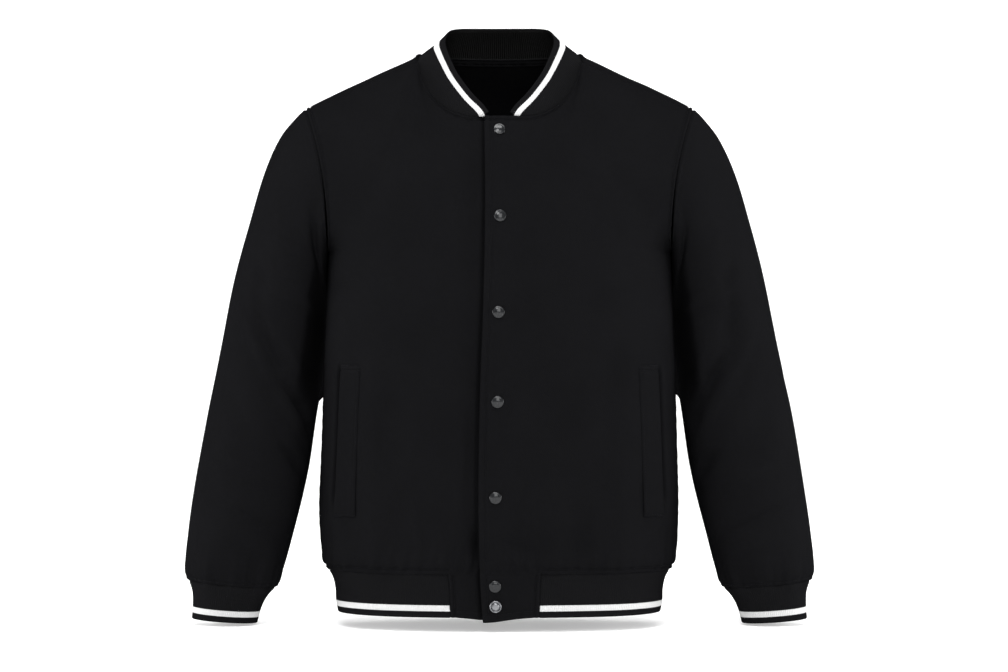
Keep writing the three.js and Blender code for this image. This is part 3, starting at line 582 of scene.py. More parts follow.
def lineOn(grid, distance, wanted, axis=1):
    # the line across a grid on which distances that grow or fall along an axis reach the wanted one
    if axis == 0:
        grid, distance = grid.swapaxes(0, 1), distance.T
    if distance[0, 0] > distance[0, -1]:
        grid, distance = grid[:, ::-1], distance[:, ::-1]
    k = np.clip((distance < wanted).sum(1), 1, distance.shape[1] - 1)
    each = np.arange(len(k))
    share = (wanted - distance[each, k - 1]) / (distance[each, k] - distance[each, k - 1])
    return mix(grid[each, k - 1], grid[each, k], share[:, None])


def seamLine(grids, distance, wanted, axis=1, rows=slice(None), columns=slice(None)):
    # such a line on some rows and columns of the cloth, with its normals
    return [lineOn(grid[rows, columns], distance[rows, columns], wanted, axis) for grid in grids]


# Thread: rows of stitches, gathered here and made into one piece at the end

thread = {"length": 2.9, "gap": 0.55, "radius": 0.24, "sides": 5, "tackPitch": 0.62, "tackLength": 2.4}
stitchShape = table(  # shares of its length, millimetres of height and shares of the radius
    "along height wide", (-0.5, -0.3, 0.6), (-0.34, 0.1, 1), (0.34, 0.1, 1), (0.5, -0.3, 0.6))
stitchPoints = []


def stitches(path, normals, tack=False):
    # a stitch is a short tube whose ends dip into the cloth: along * s + normal * height(s) + ring * radius(s);
    # those of a tack lie close together across the path
    place = lengthAlong(path)
    length = thread["tackLength"] if tack else thread["length"]
    pitch = thread["tackPitch"] if tack else length + thread["gap"]
    middles = np.arange(pitch / 2, place[-1] - pitch / 2 + 0.01, pitch)
    nearby = 0.4

    def along(rows, places):
        return np.stack([np.interp(places, place, rows[:, k]) for k in range(3)], -1)
    middle, up = along(path, middles), unit(along(normals, middles))
    way = unit(along(path, middles + nearby) - along(path, middles - nearby))
    side = unit(np.cross(way, up))
    if tack:
        way, side = side, way
    s, heights, widths = (column[:, None, None] for column in stitchShape.values())
    turn = np.arange(thread["sides"]) * 2 * np.pi / thread["sides"]
    order = -1 if tack else 1
    centreLine = middle[:, None, None] + way[:, None, None] * (s * length) + up[:, None, None] * heights
    ring = side[:, None, None] * np.cos(turn)[:, None] + order * up[:, None, None] * np.sin(turn)[:, None]
    stitchPoints.append((centreLine + ring * (widths * thread["radius"])).reshape(-1, 3))


# Back and fronts

panelCloth = {  # wall, steps of the grid, and the lengths that the steps divide
    "thickness": 1.9, "step": 4.2, "topStep": 3.4, "backStep": 6.2, "bodyTall": 372, "backTall": 240,
    "frontTall": 180, "backWide": 300, "frontWide": 175, "sideWide": 90, "neckColumns": 54, "slitColumns": 26,
    # the back's inner skin is shifted 3 m along v in uv, which marks it for painted shade
    "tabShare": 0.25, "paintedShadeShift": 3000}
seamRows = {"armhole": 5.6, "neck": 5.6, "hem": (1.9, 6.9), "tab": (1.9, 5.6), "flap": 7.0}
panelRelief = {  # heights of the panel's own relief, and where the cloth swells above the hem
    "creases": 1.4, "creasesAtEdge": 0.35, "uneven": 0.9, "edge": 16, "ripple": 1.3, "rippleLength": 17,
    "rippleFade": 20, "swell": 1.3, "swellAt": 13, "swellWide": 9}
panelCreases = {
    "right": table(
        "u v endU endV wide height trough",
        (188, -252, 118, -300, 10, 1.7, 0.5), (196, -276, 128, -352, 12, -1.4, 0.4),
        (150, -318, 146, -470, 17, 1.2, 0.5), (98, -380, 92, -560, 20, 1.1, 0.6),
        (142, -596, 150, -470, 15, 1.8, 0.7), (104, -600, 112, -520, 11, -1.5, 0.5),
        (58, -598, 74, -505, 12, 1.3, 0.6), (34, -560, 30, -430, 9, -1.6, 0.3),
        (186, -600, 196, -500, 11, 1.6, 0.6), (122, -120, 176, -196, 16, -1.3, 0.4),
        (60, -250, 150, -262, 22, 0.9, 0.5)),
    "left": table(
        "u v endU endV wide height trough",
        (190, -250, 112, -288, 11, 1.6, 0.5), (196, -282, 132, -348, 13, -1.3, 0.4),
        (152, -330, 150, -480, 16, 1.2, 0.5), (96, -360, 100, -550, 21, 1.0, 0.6),
        (136, -598, 146, -480, 14, 1.8, 0.7), (90, -600, 100, -530, 11, -1.4, 0.5),
        (60, -598, 66, -520, 12, 1.4, 0.6), (10, -574, 40, -590, 7, -1.4, 0.4),
        (184, -600, 198, -506, 12, 1.5, 0.6), (118, -116, 172, -190, 17, -1.3, 0.4),
        (66, -246, 146, -258, 22, 0.9, 0.5)),
    "back": table(
        "u v endU endV wide height trough",
        (184, -240, 96, -282, 12, 2.2, 0.6), (-186, -236, -90, -288, 12, 2.1, 0.6),
        (190, -272, 120, -352, 14, -1.9, 0.4), (-190, -276, -126, -346, 14, -1.8, 0.4),
        (60, -330, 52, -540, 22, 1.3, 0.5), (-54, -310, -64, -530, 24, 1.4, 0.5),
        (142, -596, 138, -430, 16, 2.1, 0.7), (-140, -598, -146, -450, 15, 2.0, 0.7),
        (98, -600, 94, -510, 12, -1.7, 0.5), (-102, -600, -96, -520, 12, -1.8, 0.5),
        (24, -600, 34, -500, 13, 1.6, 0.6), (-30, -600, -22, -490, 14, 1.5, 0.6),
        (-70, -66, 70, -66, 17, -1.2, 0.3), (186, -600, 196, -508, 12, 1.7, 0.6),
        (-184, -600, -196, -500, 12, 1.7, 0.6), (-120, -190, 120, -196, 30, 0.9, 0.4)),
}
welt = {"top": -367.6, "bottom": -546, "topInner": 162, "topOuter": 184.6, "bottomInner": 171,
        "bottomOuter": 192.3, "gap": 0.45, "thickness": 1.7, "lift": 0.5, "slit": 5.0, "slitWide": 2.3,
        "slitAt": 3.6, "slitFrom": 178, "slitTo": 197, "lip": 0.5, "lipAt": 5, "lipWide": 4, "row": 2.6,
        "topRow": 6.2, "tacks": ((1, 14), (-2, 12))}


def panelDetail(hand, points, edges):
    # the panel's creases and unevenness, flattened near its seams, and the seams' own shape
    x, z = points[..., 0], points[..., 2]
    free = np.minimum.reduce([ease(edges[name], 0, panelRelief["edge"]) for name in edges])
    seed = {"right": 11, "left": 23, "back": 37}[hand]
    height = panelRelief["creases"] * creases(panelCreases[hand], x, z) * mix(panelRelief["creasesAtEdge"], 1, free)
    height += panelRelief["uneven"] * uneven(x, z, seed) * free
    above = np.where(z > torso["hemSeam"], z - torso["hemSeam"], 400)
    ripple = np.sin(2 * np.pi * edges["along"] / panelRelief["rippleLength"] + 2.1 * np.sin(edges["along"] / 41 + seed))
    height += panelRelief["ripple"] * ripple * ease(above, 0, 5) * np.exp(-above / panelRelief["rippleFade"])
    return height + panelRelief["swell"] * hill(above - panelRelief["swellAt"], panelRelief["swellWide"]) * free


def gridEdges(points):
    # how far each point lies along the cloth from each edge of its grid
    along, up = lengthAlong(points, 1), lengthAlong(points, 0)
    return {"start": along, "end": along[:, -1:] - along, "bottom": up, "top": up[-1:] - up, "along": along}


def clothUv(points, closed=False):
    # u is the distance along the middle row of the grid and v the distance up each column
    rows = points if not closed else np.concatenate([points, points[:, :1]], 1)
    u = lengthAlong(rows[len(rows) // 2], 0)
    return np.stack(np.broadcast_arrays(u[None], lengthAlong(rows, 0)), -1)


def displaced(points, height, closed=False):
    return points + gridNormals(points, closed) * height[..., None]


def sideSeamRelief(edge, bottom, levels):
    # a stitched armhole seam above the armpit and a plain side seam below it
    chest = ease(levels, 1, 1.02)[:, None]
    armholeSeam = sewn(edge, bottom, stitch=seamRows["armhole"], roll=2)
    return armholeSeam * chest + sewn(edge, bottom, roll=0.2, dip=0, pucker=0.2, period=16) * (1 - chest)


def makeBack():
    neck = torso["neckShare"]
    sideWide = panelCloth["backWide"] * (1 - neck)
    columns = joined(
        (1, neck, gridLines(sideWide, panelCloth["backStep"], True, False)),
        (neck, -neck, np.linspace(0, 1, panelCloth["neckColumns"])),
        (-neck, -1, gridLines(sideWide, panelCloth["backStep"], False, True)))
    levels = joined(
        (0, 1, gridLines(panelCloth["bodyTall"], panelCloth["backStep"], True, False)),
        (1, 2, gridLines(panelCloth["backTall"], panelCloth["topStep"], False, True)))
    points = torsoPoint("back", columns[None], levels[:, None])
    edges = gridEdges(points)
    height = panelDetail("back", points, edges)
    for side in ("start", "end"):
        height += sideSeamRelief(edges[side], edges["bottom"], levels)
    height += sewn(edges["top"], edges["along"]) + sewn(edges["bottom"], edges["along"], stitch=6.9)
    points = displaced(points, height)
    grids = points, gridNormals(points)
    for side in ("start", "end"):
        stitches(*seamLine(grids, edges[side], seamRows["armhole"], rows=levels > 1))
    stitches(*seamLine(grids, edges["top"], seamRows["neck"], 0))
    for wanted in seamRows["hem"]:
        stitches(*seamLine(grids, edges["bottom"], wanted, 0))
    # the inner skin is shifted in uv, so the cloth darkens it as painted shade
    return clothShell("back_cloth", points, clothUv(points), panelCloth["thickness"], finish["cotton"],
                      paintedShadeShift=panelCloth["paintedShadeShift"])


def makeFront(hand):
    tab = tabAcross[hand]
    tabWide = overlap[hand] - overlap["under"]
    tabShare = panelCloth["tabShare"]
    slit = acrossAt(front, levelAt(-456), np.array([welt["slitFrom"], welt["slitTo"]], float))
    overlapColumns = gridLines(tabWide, overlap["step"])
    bodyColumns = joined(
        (tab, slit[0], gridLines(panelCloth["frontWide"], panelCloth["step"], True, False)),
        (slit[0], slit[1], np.linspace(0, 1, panelCloth["slitColumns"])),
        (slit[1], 1, gridLines(panelCloth["sideWide"], panelCloth["step"], False, True)))
    shares = np.concatenate([overlapColumns * tabShare, mix(tabShare, 1, (bodyColumns[1:] - tab) / (1 - tab))])
    bandLevels = mix(-1, 0, gridLines(torso["hemBandDepth"], panelCloth["step"]))
    levels = np.concatenate([bandLevels, joined(
        (0, 1, gridLines(panelCloth["bodyTall"], panelCloth["step"], True, False)),
        (1, 2, gridLines(panelCloth["frontTall"], panelCloth["topStep"], False, True)))[1:]])
    height = levelHeight(front, levels)
    edgeX = smooth(flapEdge, height, "x") if hand == "left" else np.full_like(height, overlap["under"])
    start = acrossAt(front, levels, edgeX)[:, None]
    flap = shares[None] < tabShare
    across = np.where(flap, mix(start, tab, shares[None] / tabShare),
                      mix(tab, 1, (shares[None] - tabShare) / (1 - tabShare)))
    points = torsoPoint(hand, across, levels[:, None] + 0 * across)
    edges = gridEdges(points)
    seam = len(bandLevels) - 1
    tabColumn = len(overlapColumns) - 1
    edges["hem"] = edges["bottom"] - edges["bottom"][seam]
    relief = panelDetail(hand, points, {name: edges[name] for name in ("end", "top", "along")})
    relief += sideSeamRelief(edges["end"], edges["bottom"], levels)
    relief += sewn(edges["top"], edges["along"])
    past = ease(edges["along"] - edges["along"][:, tabColumn:tabColumn + 1], -4, 1)
    relief += sewn(np.abs(edges["hem"]), edges["along"], stitch=6.9) * past * (edges["hem"] >= -0.01)
    fromTab = edges["along"][:, tabColumn:tabColumn + 1] - edges["along"]
    band = 1 - ease(levels, -0.02, 0.02)[:, None]
    relief += sewn(np.abs(fromTab), edges["bottom"], stitch=5.6, pucker=0.15) * band
    flapSeam = seamRows["flap"]
    relief += 0.5 * hill(edges["start"] - 3.2, 2.4) - 0.8 * hill(edges["start"] - flapSeam, 1.2)
    relief += 0.22 * np.sin(2 * np.pi * edges["bottom"] / 12.5 + 1.6 * np.sin(edges["bottom"] / 37)) * hill(
        edges["start"] - 3.5, 5)
    relief += -0.4 * hill(edges["bottom"] - flapSeam, 1.0) * band
    x, z = points[..., 0], points[..., 2]
    drop = np.clip((welt["top"] - z) / (welt["top"] - welt["bottom"]), 0, 1)
    outer = mix(welt["topOuter"], welt["bottomOuter"], drop) + welt["slitAt"]
    within = ease(z, welt["bottom"] - 2, welt["bottom"] + 30) * (1 - ease(z, welt["top"] - 8, welt["top"] + 2))
    relief += -welt["slit"] * within * hill(x - outer, welt["slitWide"])
    relief += welt["lip"] * within * hill(x - outer - welt["lipAt"], welt["lipWide"])
    points = displaced(points, relief)
    normals = gridNormals(points)
    keep = np.ones((len(levels) - 1, len(shares) - 1), bool)
    keep[:seam, tabColumn:] = False
    grids = points, normals
    lines = [seamLine(grids, edges["start"], flapSeam)] if hand == "left" else []
    lines.append(seamLine(grids, edges["end"], seamRows["armhole"], rows=levels > 1))
    lines.append(seamLine(grids, edges["top"], seamRows["neck"], 0))
    body, inBand, beforeTab = slice(seam, None), slice(seam + 1), slice(tabColumn + 1)
    for wanted in seamRows["hem"]:
        lines.append(seamLine(grids, edges["hem"], wanted, 0, body, slice(tabColumn, None)))
    for wanted in seamRows["tab"]:
        lines.append(seamLine(grids, fromTab, wanted, 1, inBand, beforeTab))
    lines.append(seamLine(grids, edges["bottom"], flapSeam, 0, columns=slice(tabColumn)))
    weltPiece = makeWelt(hand, points, shares, levels, tab, tabShare)
    for path, up in lines:
        stitches(path * handed[hand], up * handed[hand])
    if hand == "right":
        points, keep = points[:, ::-1] * handed[hand], keep[:, ::-1]
    name = "front_cloth_" + hand
    piece = clothShell(name, points, clothUv(points), panelCloth["thickness"], finish["cotton"], keep=keep)
    return piece, weltPiece


def sample(grid, rowPlaces, columnPlaces, rowAt, columnAt):
    # points of a grid between its lines: the mean of the four corners round each place, weighted by nearness
    j = np.clip(np.searchsorted(rowPlaces, rowAt), 1, len(rowPlaces) - 1)
    i = np.clip(np.searchsorted(columnPlaces, columnAt), 1, len(columnPlaces) - 1)
    up = ((rowAt - rowPlaces[j - 1]) / (rowPlaces[j] - rowPlaces[j - 1]))[..., None]
    along = ((columnAt - columnPlaces[i - 1]) / (columnPlaces[i] - columnPlaces[i - 1]))[..., None]
    low = mix(grid[j - 1, i - 1], grid[j - 1, i], along)
    high = mix(grid[j, i - 1], grid[j, i], along)
    return mix(low, high, up)


def makeWelt(hand, panel, shares, levels, tab, tabShare):
    # a slanted strip laid on the front, rounded over at its long edges, with the pocket's opening at its outer one
    rise = gridLines(180, 3.0)[:, None]
    share = np.linspace(0, 1, 22)[None]
    height = mix(welt["bottom"], welt["top"], rise) + 0 * share
    inner = mix(welt["bottomInner"], welt["topInner"], rise)
    outer = mix(welt["bottomOuter"], welt["topOuter"], rise)
    x = mix(inner, outer, share)
    level = levelAt(height)
    across = acrossAt(front, level, x)
    column = mix(tabShare, 1, (across - tab) / (1 - tab))
    base = torsoPoint(hand, across, level)
    on = sample(panel, levels, shares, level, column)
    normals = gridNormals(base)
    proud = np.maximum(((on - base) * normals).sum(-1), -0.2)
    length = lengthAlong(base, 0)
    wide = lengthAlong(base, 1)
    fromInner, fromOuter = wide, wide[:, -1:] - wide
    fromTop, fromBottom = length[-1:] - length, length
    relief = proud + welt["gap"] + welt["thickness"]
    for distance in (fromInner, fromTop, fromBottom):
        relief = relief - 1.6 * np.exp(-distance / 1.6) - 0.5 * hill(distance - 2.6, 1.1)
    relief = relief + welt["lift"] * hill(fromOuter - 1, 4) * ease(fromBottom, 10, 70) * ease(fromTop, 4, 30)
    relief = relief - 0.9 * hill(fromTop - 6.2, 1.2) + 0.3 * np.sin(length / 5.2) * hill(fromInner - 5, 5)
    points = base + normals * relief[..., None]
    up = gridNormals(points)
    mirror = handed[hand]
    for distance, axis, wanted in ((fromInner, 1, welt["row"]), (fromTop, 0, welt["row"]),
                                   (fromTop, 0, welt["topRow"]), (fromBottom, 0, welt["row"])):
        path, normal = seamLine((points, up), distance, wanted, axis)
        stitches(path * mirror, normal * mirror)
    for row, start in welt["tacks"]:
        stitches(points[row, start:] * mirror, up[row, start:] * mirror, tack=True)
    if hand == "right":
        points = points[:, ::-1] * mirror
    return clothShell("welt_cloth_" + hand, points, clothUv(points), welt["thickness"], finish["cotton"])


backPiece = makeBack()
fronts = {hand: makeFront(hand) for hand in ("right", "left")}
print("body made")


# Sleeves: rings down the arm, round from the inner edge (0) over the front (90) to the outer edge (180)

sleeveRings = table(
    "at outX outZ inX inZ depth y hollow",
    (0, 232, -62, 205.5, -236, 70, 0, 10), (12, 241.5, -69.5, 206.5, -244, 71, 2, 8),
    (45, 263, -95.5, 207.5, -264, 72, 9, 3), (95, 284, -141, 206, -297, 71, 15, 0),
    (155, 302, -200, 206, -331, 70, 17, 0), (225, 320, -268, 208.5, -366, 69, 17, 0),
    (308, 337, -350, 214, -407, 67, 16, 0), (379, 351, -420, 223.5, -461, 65, 13, 0),
    (460, 364, -500, 237, -527, 62, 8, 0), (533, 374, -572, 252, -586, 60, 4, 0),
    (566, 377, -605, 260.5, -613, 57, 2, 0), (588, 372.5, -626, 270, -635, 47, 1, 0))
cuffRings = table(
    "at outX outZ inX inZ depth y hollow",
    (0, 372.5, -626, 270, -635, 47, 1, 0), (15, 368.6, -640, 279, -646, 38, 0, 0),
    (32, 368, -656, 286, -660, 33.5, 0, 0), (47, 369, -672, 291, -678, 31.5, 0, 0))
sleeve = {"length": 588, "roundPerDegree": 1.15, "foldLength": 30, "foldEnds": 0.12, "plainTop": 24,
          "gatherWaves": 9, "gatherHeight": 1.7, "gatherFade": 34, "thickness": 1.9, "step": 4.6, "columns": 150}
sleeveFolds = {  # main folds: where each starts and ends down the arm and round it
    "right": table(
        "at angle endAt endAngle wide height",
        (20, 74, 70, 34, 15, -8), (150, 126, 215, 114, 14, -3), (215, 114, 312, 76, 12, -5.5),
        (296, 80, 356, 28, 15, -9), (232, 72, 296, 46, 15, 3.5), (384, 64, 438, 12, 15, -5.5),
        (330, 132, 400, 96, 18, -3), (470, 140, 520, 30, 16, -3), (260, 300, 340, 200, 24, -5),
        (420, 310, 480, 210, 20, -3)),
    "left": table(
        "at angle endAt endAngle wide height",
        (24, 70, 74, 32, 14, -6), (150, 112, 196, 105, 14, -3), (186, 106, 276, 91, 12, -5),
        (262, 94, 346, 38, 15, -8.5), (226, 66, 300, 48, 15, 3.5), (392, 62, 442, 16, 15, -5.5),
        (340, 128, 404, 98, 18, -3), (480, 130, 525, 26, 16, -3), (260, 300, 340, 200, 24, -5),
        (420, 310, 480, 210, 20, -3)),
}
sleeveTuck = {  # beside the body the sleeve folds back into a deep slot, from down the arm and round it
    "right": 1.5, "left": 1.3, "from": 8, "full": 170, "fade": 270, "to": 370, "floorTo": 8, "wallTo": 56,
    "widen": 5, "widenAt": 34, "widenOver": 20}
sleeveCreases = {  # finer ones, in millimetres round the sleeve and down the arm
    "right": table(
        "u v endU endV wide height trough", (60, 70, 150, 150, 11, 1.8, 0.6), (30, 120, 130, 200, 10, 1.6, 0.6),
        (150, 250, 60, 330, 9, 1.8, 0.7), (110, 300, 30, 372, 9, 1.6, 0.6), (160, 410, 60, 452, 9, 1.7, 0.6),
        (130, 520, 40, 548, 8, 1.5, 0.5), (250, 230, 330, 300, 11, 1.6, 0.6), (330, 390, 240, 440, 10, 1.7, 0.6),
        (360, 90, 290, 170, 12, 1.7, 0.6), (300, 500, 360, 545, 9, 1.5, 0.5), (190, 200, 205, 400, 14, -1.2, 0.3)),
    "left": table(
        "u v endU endV wide height trough", (70, 64, 146, 140, 11, 1.7, 0.6), (36, 128, 120, 196, 10, 1.7, 0.6),
        (146, 262, 70, 340, 9, 1.7, 0.7), (104, 318, 34, 380, 9, 1.6, 0.6), (150, 424, 70, 458, 9, 1.7, 0.6),
        (124, 524, 46, 546, 8, 1.4, 0.5), (256, 226, 326, 306, 11, 1.7, 0.6), (326, 396, 246, 434, 10, 1.6, 0.6),
        (356, 96, 296, 164, 12, 1.6, 0.6), (306, 494, 356, 548, 9, 1.5, 0.5), (196, 210, 200, 390, 14, -1.1, 0.3)),
}


def ringPoint(rings, at, angle):
    # an ellipse from the inner edge to the outer one, hollowed a little towards the body at the armhole
    outX, outZ, inX, inZ = (smooth(rings, at, name) for name in ("outX", "outZ", "inX", "inZ"))
    turn = np.radians(angle)
    return vector(
        (outX + inX) / 2 - (outX - inX) / 2 * np.cos(turn) - smooth(rings, at, "hollow") * np.sin(turn) ** 2,
        smooth(rings, at, "y") - smooth(rings, at, "depth") * np.sin(turn),
        (outZ + inZ) / 2 - (outZ - inZ) / 2 * np.cos(turn))


def sleevePoint(hand, at, angle):
    # the rings with the main folds and the gathers above the cuff, pushed away from the arm's middle line
    at, angle = np.broadcast_arrays(np.asarray(at, float), np.asarray(angle, float))
    height = 0
    folds = sleeveFolds[hand]
    for start, fromAngle, end, toAngle, wide, up in zip(*(folds[name] for name in folds)):
        share = np.clip((at - start) / (end - start), 0, 1)
        past = at - mix(start, end, share)
        beside = (angle - mix(fromAngle, toAngle, share)) * sleeve["roundPerDegree"]
        ends = np.sin(np.pi * np.clip(share, sleeve["foldEnds"], 1 - sleeve["foldEnds"]))
        height = height + up * ends * hill(past, sleeve["foldLength"]) * hill(beside, wide)
    gather = sleeve["gatherHeight"] * np.cos(sleeve["gatherWaves"] * np.radians(angle))
    height = height + gather * hill(sleeve["length"] - at, sleeve["gatherFade"])
    point = ringPoint(sleeveRings, at, angle)
    middle = (ringPoint(sleeveRings, at, 0 * angle) + ringPoint(sleeveRings, at, 0 * angle + 180)) / 2
    tuck = sleeveTuck[hand] * ease(at, sleeveTuck["from"], sleeveTuck["full"])
    tuck = tuck * (1 - ease(at, sleeveTuck["fade"], sleeveTuck["to"])) * (angle < 90)
    setBack = np.sin(np.radians(angle)) * (1 - ease(angle, sleeveTuck["floorTo"], sleeveTuck["wallTo"]))
    point[..., 1] += tuck * smooth(sleeveRings, at, "depth") * setBack
    past = hill(angle - sleeveTuck["widenAt"], sleeveTuck["widenOver"]) * np.sin(np.radians(angle)) ** 0.5
    point[..., 0] += tuck * sleeveTuck["widen"] * np.where(angle < 90, past, 0)
    return point + unit(point - middle) * (height * ease(at, 0, sleeve["plainTop"]))[..., None]


def makeSleeve(hand):
    angles = np.arange(sleeve["columns"]) * 360 / sleeve["columns"]
    at = gridLines(sleeve["length"], sleeve["step"]) * sleeve["length"]
    points = sleevePoint(hand, at[:, None], angles[None])
    distance = lengthAlong(points, 0)
    edges = {"top": distance, "bottom": distance[-1:] - distance}
    u = (angles * sleeve["roundPerDegree"])[None]
    v = at[:, None]
    free = ease(edges["top"], 0, 40) * ease(edges["bottom"], 0, 14)
    seed = {"right": 51, "left": 67}[hand]
    fine = creases(sleeveCreases[hand], u, v)
    waves = 0.28 * np.sin(2 * np.radians(angles)[None] + v / 37 + seed) + 0.22 * np.sin(
        3 * np.radians(angles)[None] - v / 23 + 2 * seed)
    relief = (1.25 * fine + waves) * free
    around = np.radians(angles)[None] * 75
    nearBody = np.exp(-(np.minimum(angles, 360 - angles)[None] / 30) ** 2)
    relief = relief + sewn(edges["top"], around, dip=0, pucker=0.3, period=12.4) * (1 - nearBody)
    relief = relief + 1.3 * nearBody * ease(v, 2, 12) * (1 - ease(v, 60, 110))
    relief = relief - 2.8 * nearBody * ease(v, 165, 245) * (1 - ease(v, 320, 420))
    backOfArmpit = hill(angles[None] - 342, 20)
    relief = relief + 3 * backOfArmpit * ease(v, 4, 40) * (1 - ease(v, 110, 190))
    relief = relief + sewn(edges["bottom"], around, dip=0.3, pucker=0.45, period=10.3)
    puckers = np.sin(26 * np.radians(angles)[None] + 1.3 * np.sin(5 * np.radians(angles)[None] + seed))
    relief = relief + 1.0 * puckers * np.exp(-edges["bottom"] / 16) * ease(edges["bottom"], 0, 5)
    relief = relief + 1.6 * hill(edges["bottom"] - 11, 8)
    underarm = np.minimum(angles, 360 - angles)[None] * sleeve["roundPerDegree"]
    relief = relief - 0.9 * np.exp(-underarm / 1.6) * ease(v, 100, 140)
    if hand == "left":
        points, relief = points[:, ::-1], relief[:, ::-1]
    points = displaced(points * handed[hand], relief, closed=True)
    normals = gridNormals(points, closed=True)
    fromCuff = edges["bottom"] if hand == "right" else edges["bottom"][:, ::-1]
    rows = seamLine((points, normals), fromCuff, 5.0, 0)
    stitches(*(np.concatenate([row, row[:1]]) for row in rows))
    name = "sleeve_cloth_" + hand
    return clothShell(name, points, clothUv(points, True), sleeve["thickness"], finish["cotton"], closed=True)


# Rib trims: each rib is a real ridge, and the free edge is a fold

rib = {"pitch": 2.4, "depth": 0.55, "thickness": 2.3, "lines": 4, "cuffLength": 45.7}


def ribHeight(columns):
    # ridges with narrow valleys: depth * (|sin|^0.6 - 1) over four grid lines to a rib
    phase = np.arange(columns) / rib["lines"]
    return rib["depth"] * (np.abs(np.sin(np.pi * phase)) ** 0.6 - 1)


def ribUv(points, fromEdge, closed=False):
    # u counts along the ribs' row and v down from the free edge
    rows = points if not closed else np.concatenate([points, points[:, :1]], 1)
    edge = fromEdge if not closed else np.concatenate([fromEdge, fromEdge[:, :1]], 1)
    u = np.arange(rows.shape[1]) * rib["pitch"] / rib["lines"]
    return np.stack(np.broadcast_arrays(u[None], edge), -1)


def knitWaves(u, v, seed):
    # knit is a little slack between its edges: long low waves across the ribs
    return 0.35 * np.sin(u / 19 + seed) * np.sin(v / 17 + 1) + 0.25 * np.sin(u / 47 + 2 * seed)


def makeCuff(hand):
    at = gridLines(rib["cuffLength"], 2.8, True, False) * rib["cuffLength"]

    def edgeCurve(angles):
        return ringPoint(cuffRings, 30.0 + 0 * angles, angles)
    angles = evenPlaces(edgeCurve, 0, 360, rib["pitch"] / rib["lines"], rib["lines"])[:-1]
    ringAt, ringAngle = np.broadcast_arrays(at[:, None], angles[None])
    seam = sleevePoint(hand, 0 * ringAt + sleeve["length"], ringAngle)
    full = ringPoint(cuffRings, 0 * ringAt, ringAngle)
    points = ringPoint(cuffRings, ringAt, ringAngle) + (seam - full) * np.exp(-ringAt / 8)[..., None]
    distance = lengthAlong(points, 0)
    fromEdge = distance[-1:] - distance
    u = np.arange(len(angles))[None] * rib["pitch"] / rib["lines"]
    relief = ribHeight(len(angles))[None] * ease(fromEdge, -1, 2.5) + 0.4 * knitWaves(u, distance, len(hand))
    relief = relief - 1.6 * np.exp(-distance / 1.5)
    if hand == "left":
        points, relief, fromEdge = points[:, ::-1], relief[:, ::-1], fromEdge[:, ::-1]
    points = displaced(points * handed[hand], relief, closed=True)
    uv = ribUv(points, fromEdge, True)
    return clothShell("cuff_knit_" + hand, points, uv, rib["thickness"], finish["knit"], closed=True)


def makeHem():
    step = rib["pitch"] / rib["lines"]

    def edgeOf(hand, sign=1):
        return lambda across: torsoPoint(hand, sign * across, 0 * across - 0.5)
    leftPlaces = evenPlaces(edgeOf("left"), tabAcross["left"], 1, step, rib["lines"])
    backPlaces = evenPlaces(edgeOf("back", -1), -1, 1, step, rib["lines"])
    rightPlaces = evenPlaces(edgeOf("right"), 1, tabAcross["right"], step, rib["lines"])
    levels = -gridLines(torso["hemBandDepth"], 2.6, True, False)[::-1, None]
    points = np.concatenate([
        torsoPoint("left", leftPlaces[None], levels),
        torsoPoint("back", -backPlaces[None, 1:-1], levels),
        torsoPoint("right", rightPlaces[None], levels) * handed["right"]], 1)
    distance = lengthAlong(points, 0)
    along = lengthAlong(points, 1)
    fromTop = distance[-1:] - distance
    u = np.arange(points.shape[1])[None] * step
    relief = ribHeight(points.shape[1])[None] * ease(distance, -1, 2.5) + knitWaves(u, distance, 3)
    ends = np.minimum(along, along[:, -1:] - along)
    relief = relief - 1.5 * np.exp(-fromTop / 1.5) - 1.2 * np.exp(-ends / 1.5)
    points = displaced(points, relief)
    return clothShell("hem_knit", points, ribUv(points, distance), rib["thickness"], finish["knit"])


collar = {"shoulderShare": 0.49, "end": 0.14, "bulge": 2.2, "rows": 20, "tuckedIn": 0.06}
collarTop = table(  # from the centre back (0) to the front end (1)
    "at x y z", (0, 0, 55, 40), (0.13, 31, 52.5, 39.8), (0.22, 50, 45, 38.8), (0.29, 61, 32, 35.5),
    (0.36, 66.3, 16, 27), (0.42, 66.5, 3, 19), (0.5, 64.8, -12, 11), (0.61, 59, -27, -4.8),
    (0.7, 52, -40, -20), (0.8, 41, -52, -36.7), (0.88, 31, -62, -49.5), (0.95, 20, -68, -60.5),
    (1, 13, -72, -69.4))


def collarPoint(place, level):
    # straight up from the neck seam to the top edge; a place is -1 or 1 at a front end and 0 at the centre back
    reach = np.abs(place) * 2
    isBack = (reach < 1)[..., None]
    backAt = np.clip(reach, 0, 1)
    frontAt = mix(1, collar["end"], np.clip(reach - 1, 0, 1))
    topAt = np.where(reach < 1, backAt * collar["shoulderShare"],
                     mix(collar["shoulderShare"], 1, np.clip(reach - 1, 0, 1)))
    seam = np.where(isBack, smoothPoint(neckSeam[back], backAt), smoothPoint(neckSeam[front], frontAt))
    point = mix(seam, smoothPoint(collarTop, topAt), level[..., None])
    point[..., 0] *= np.where(place < 0, -1, 1)
    return point


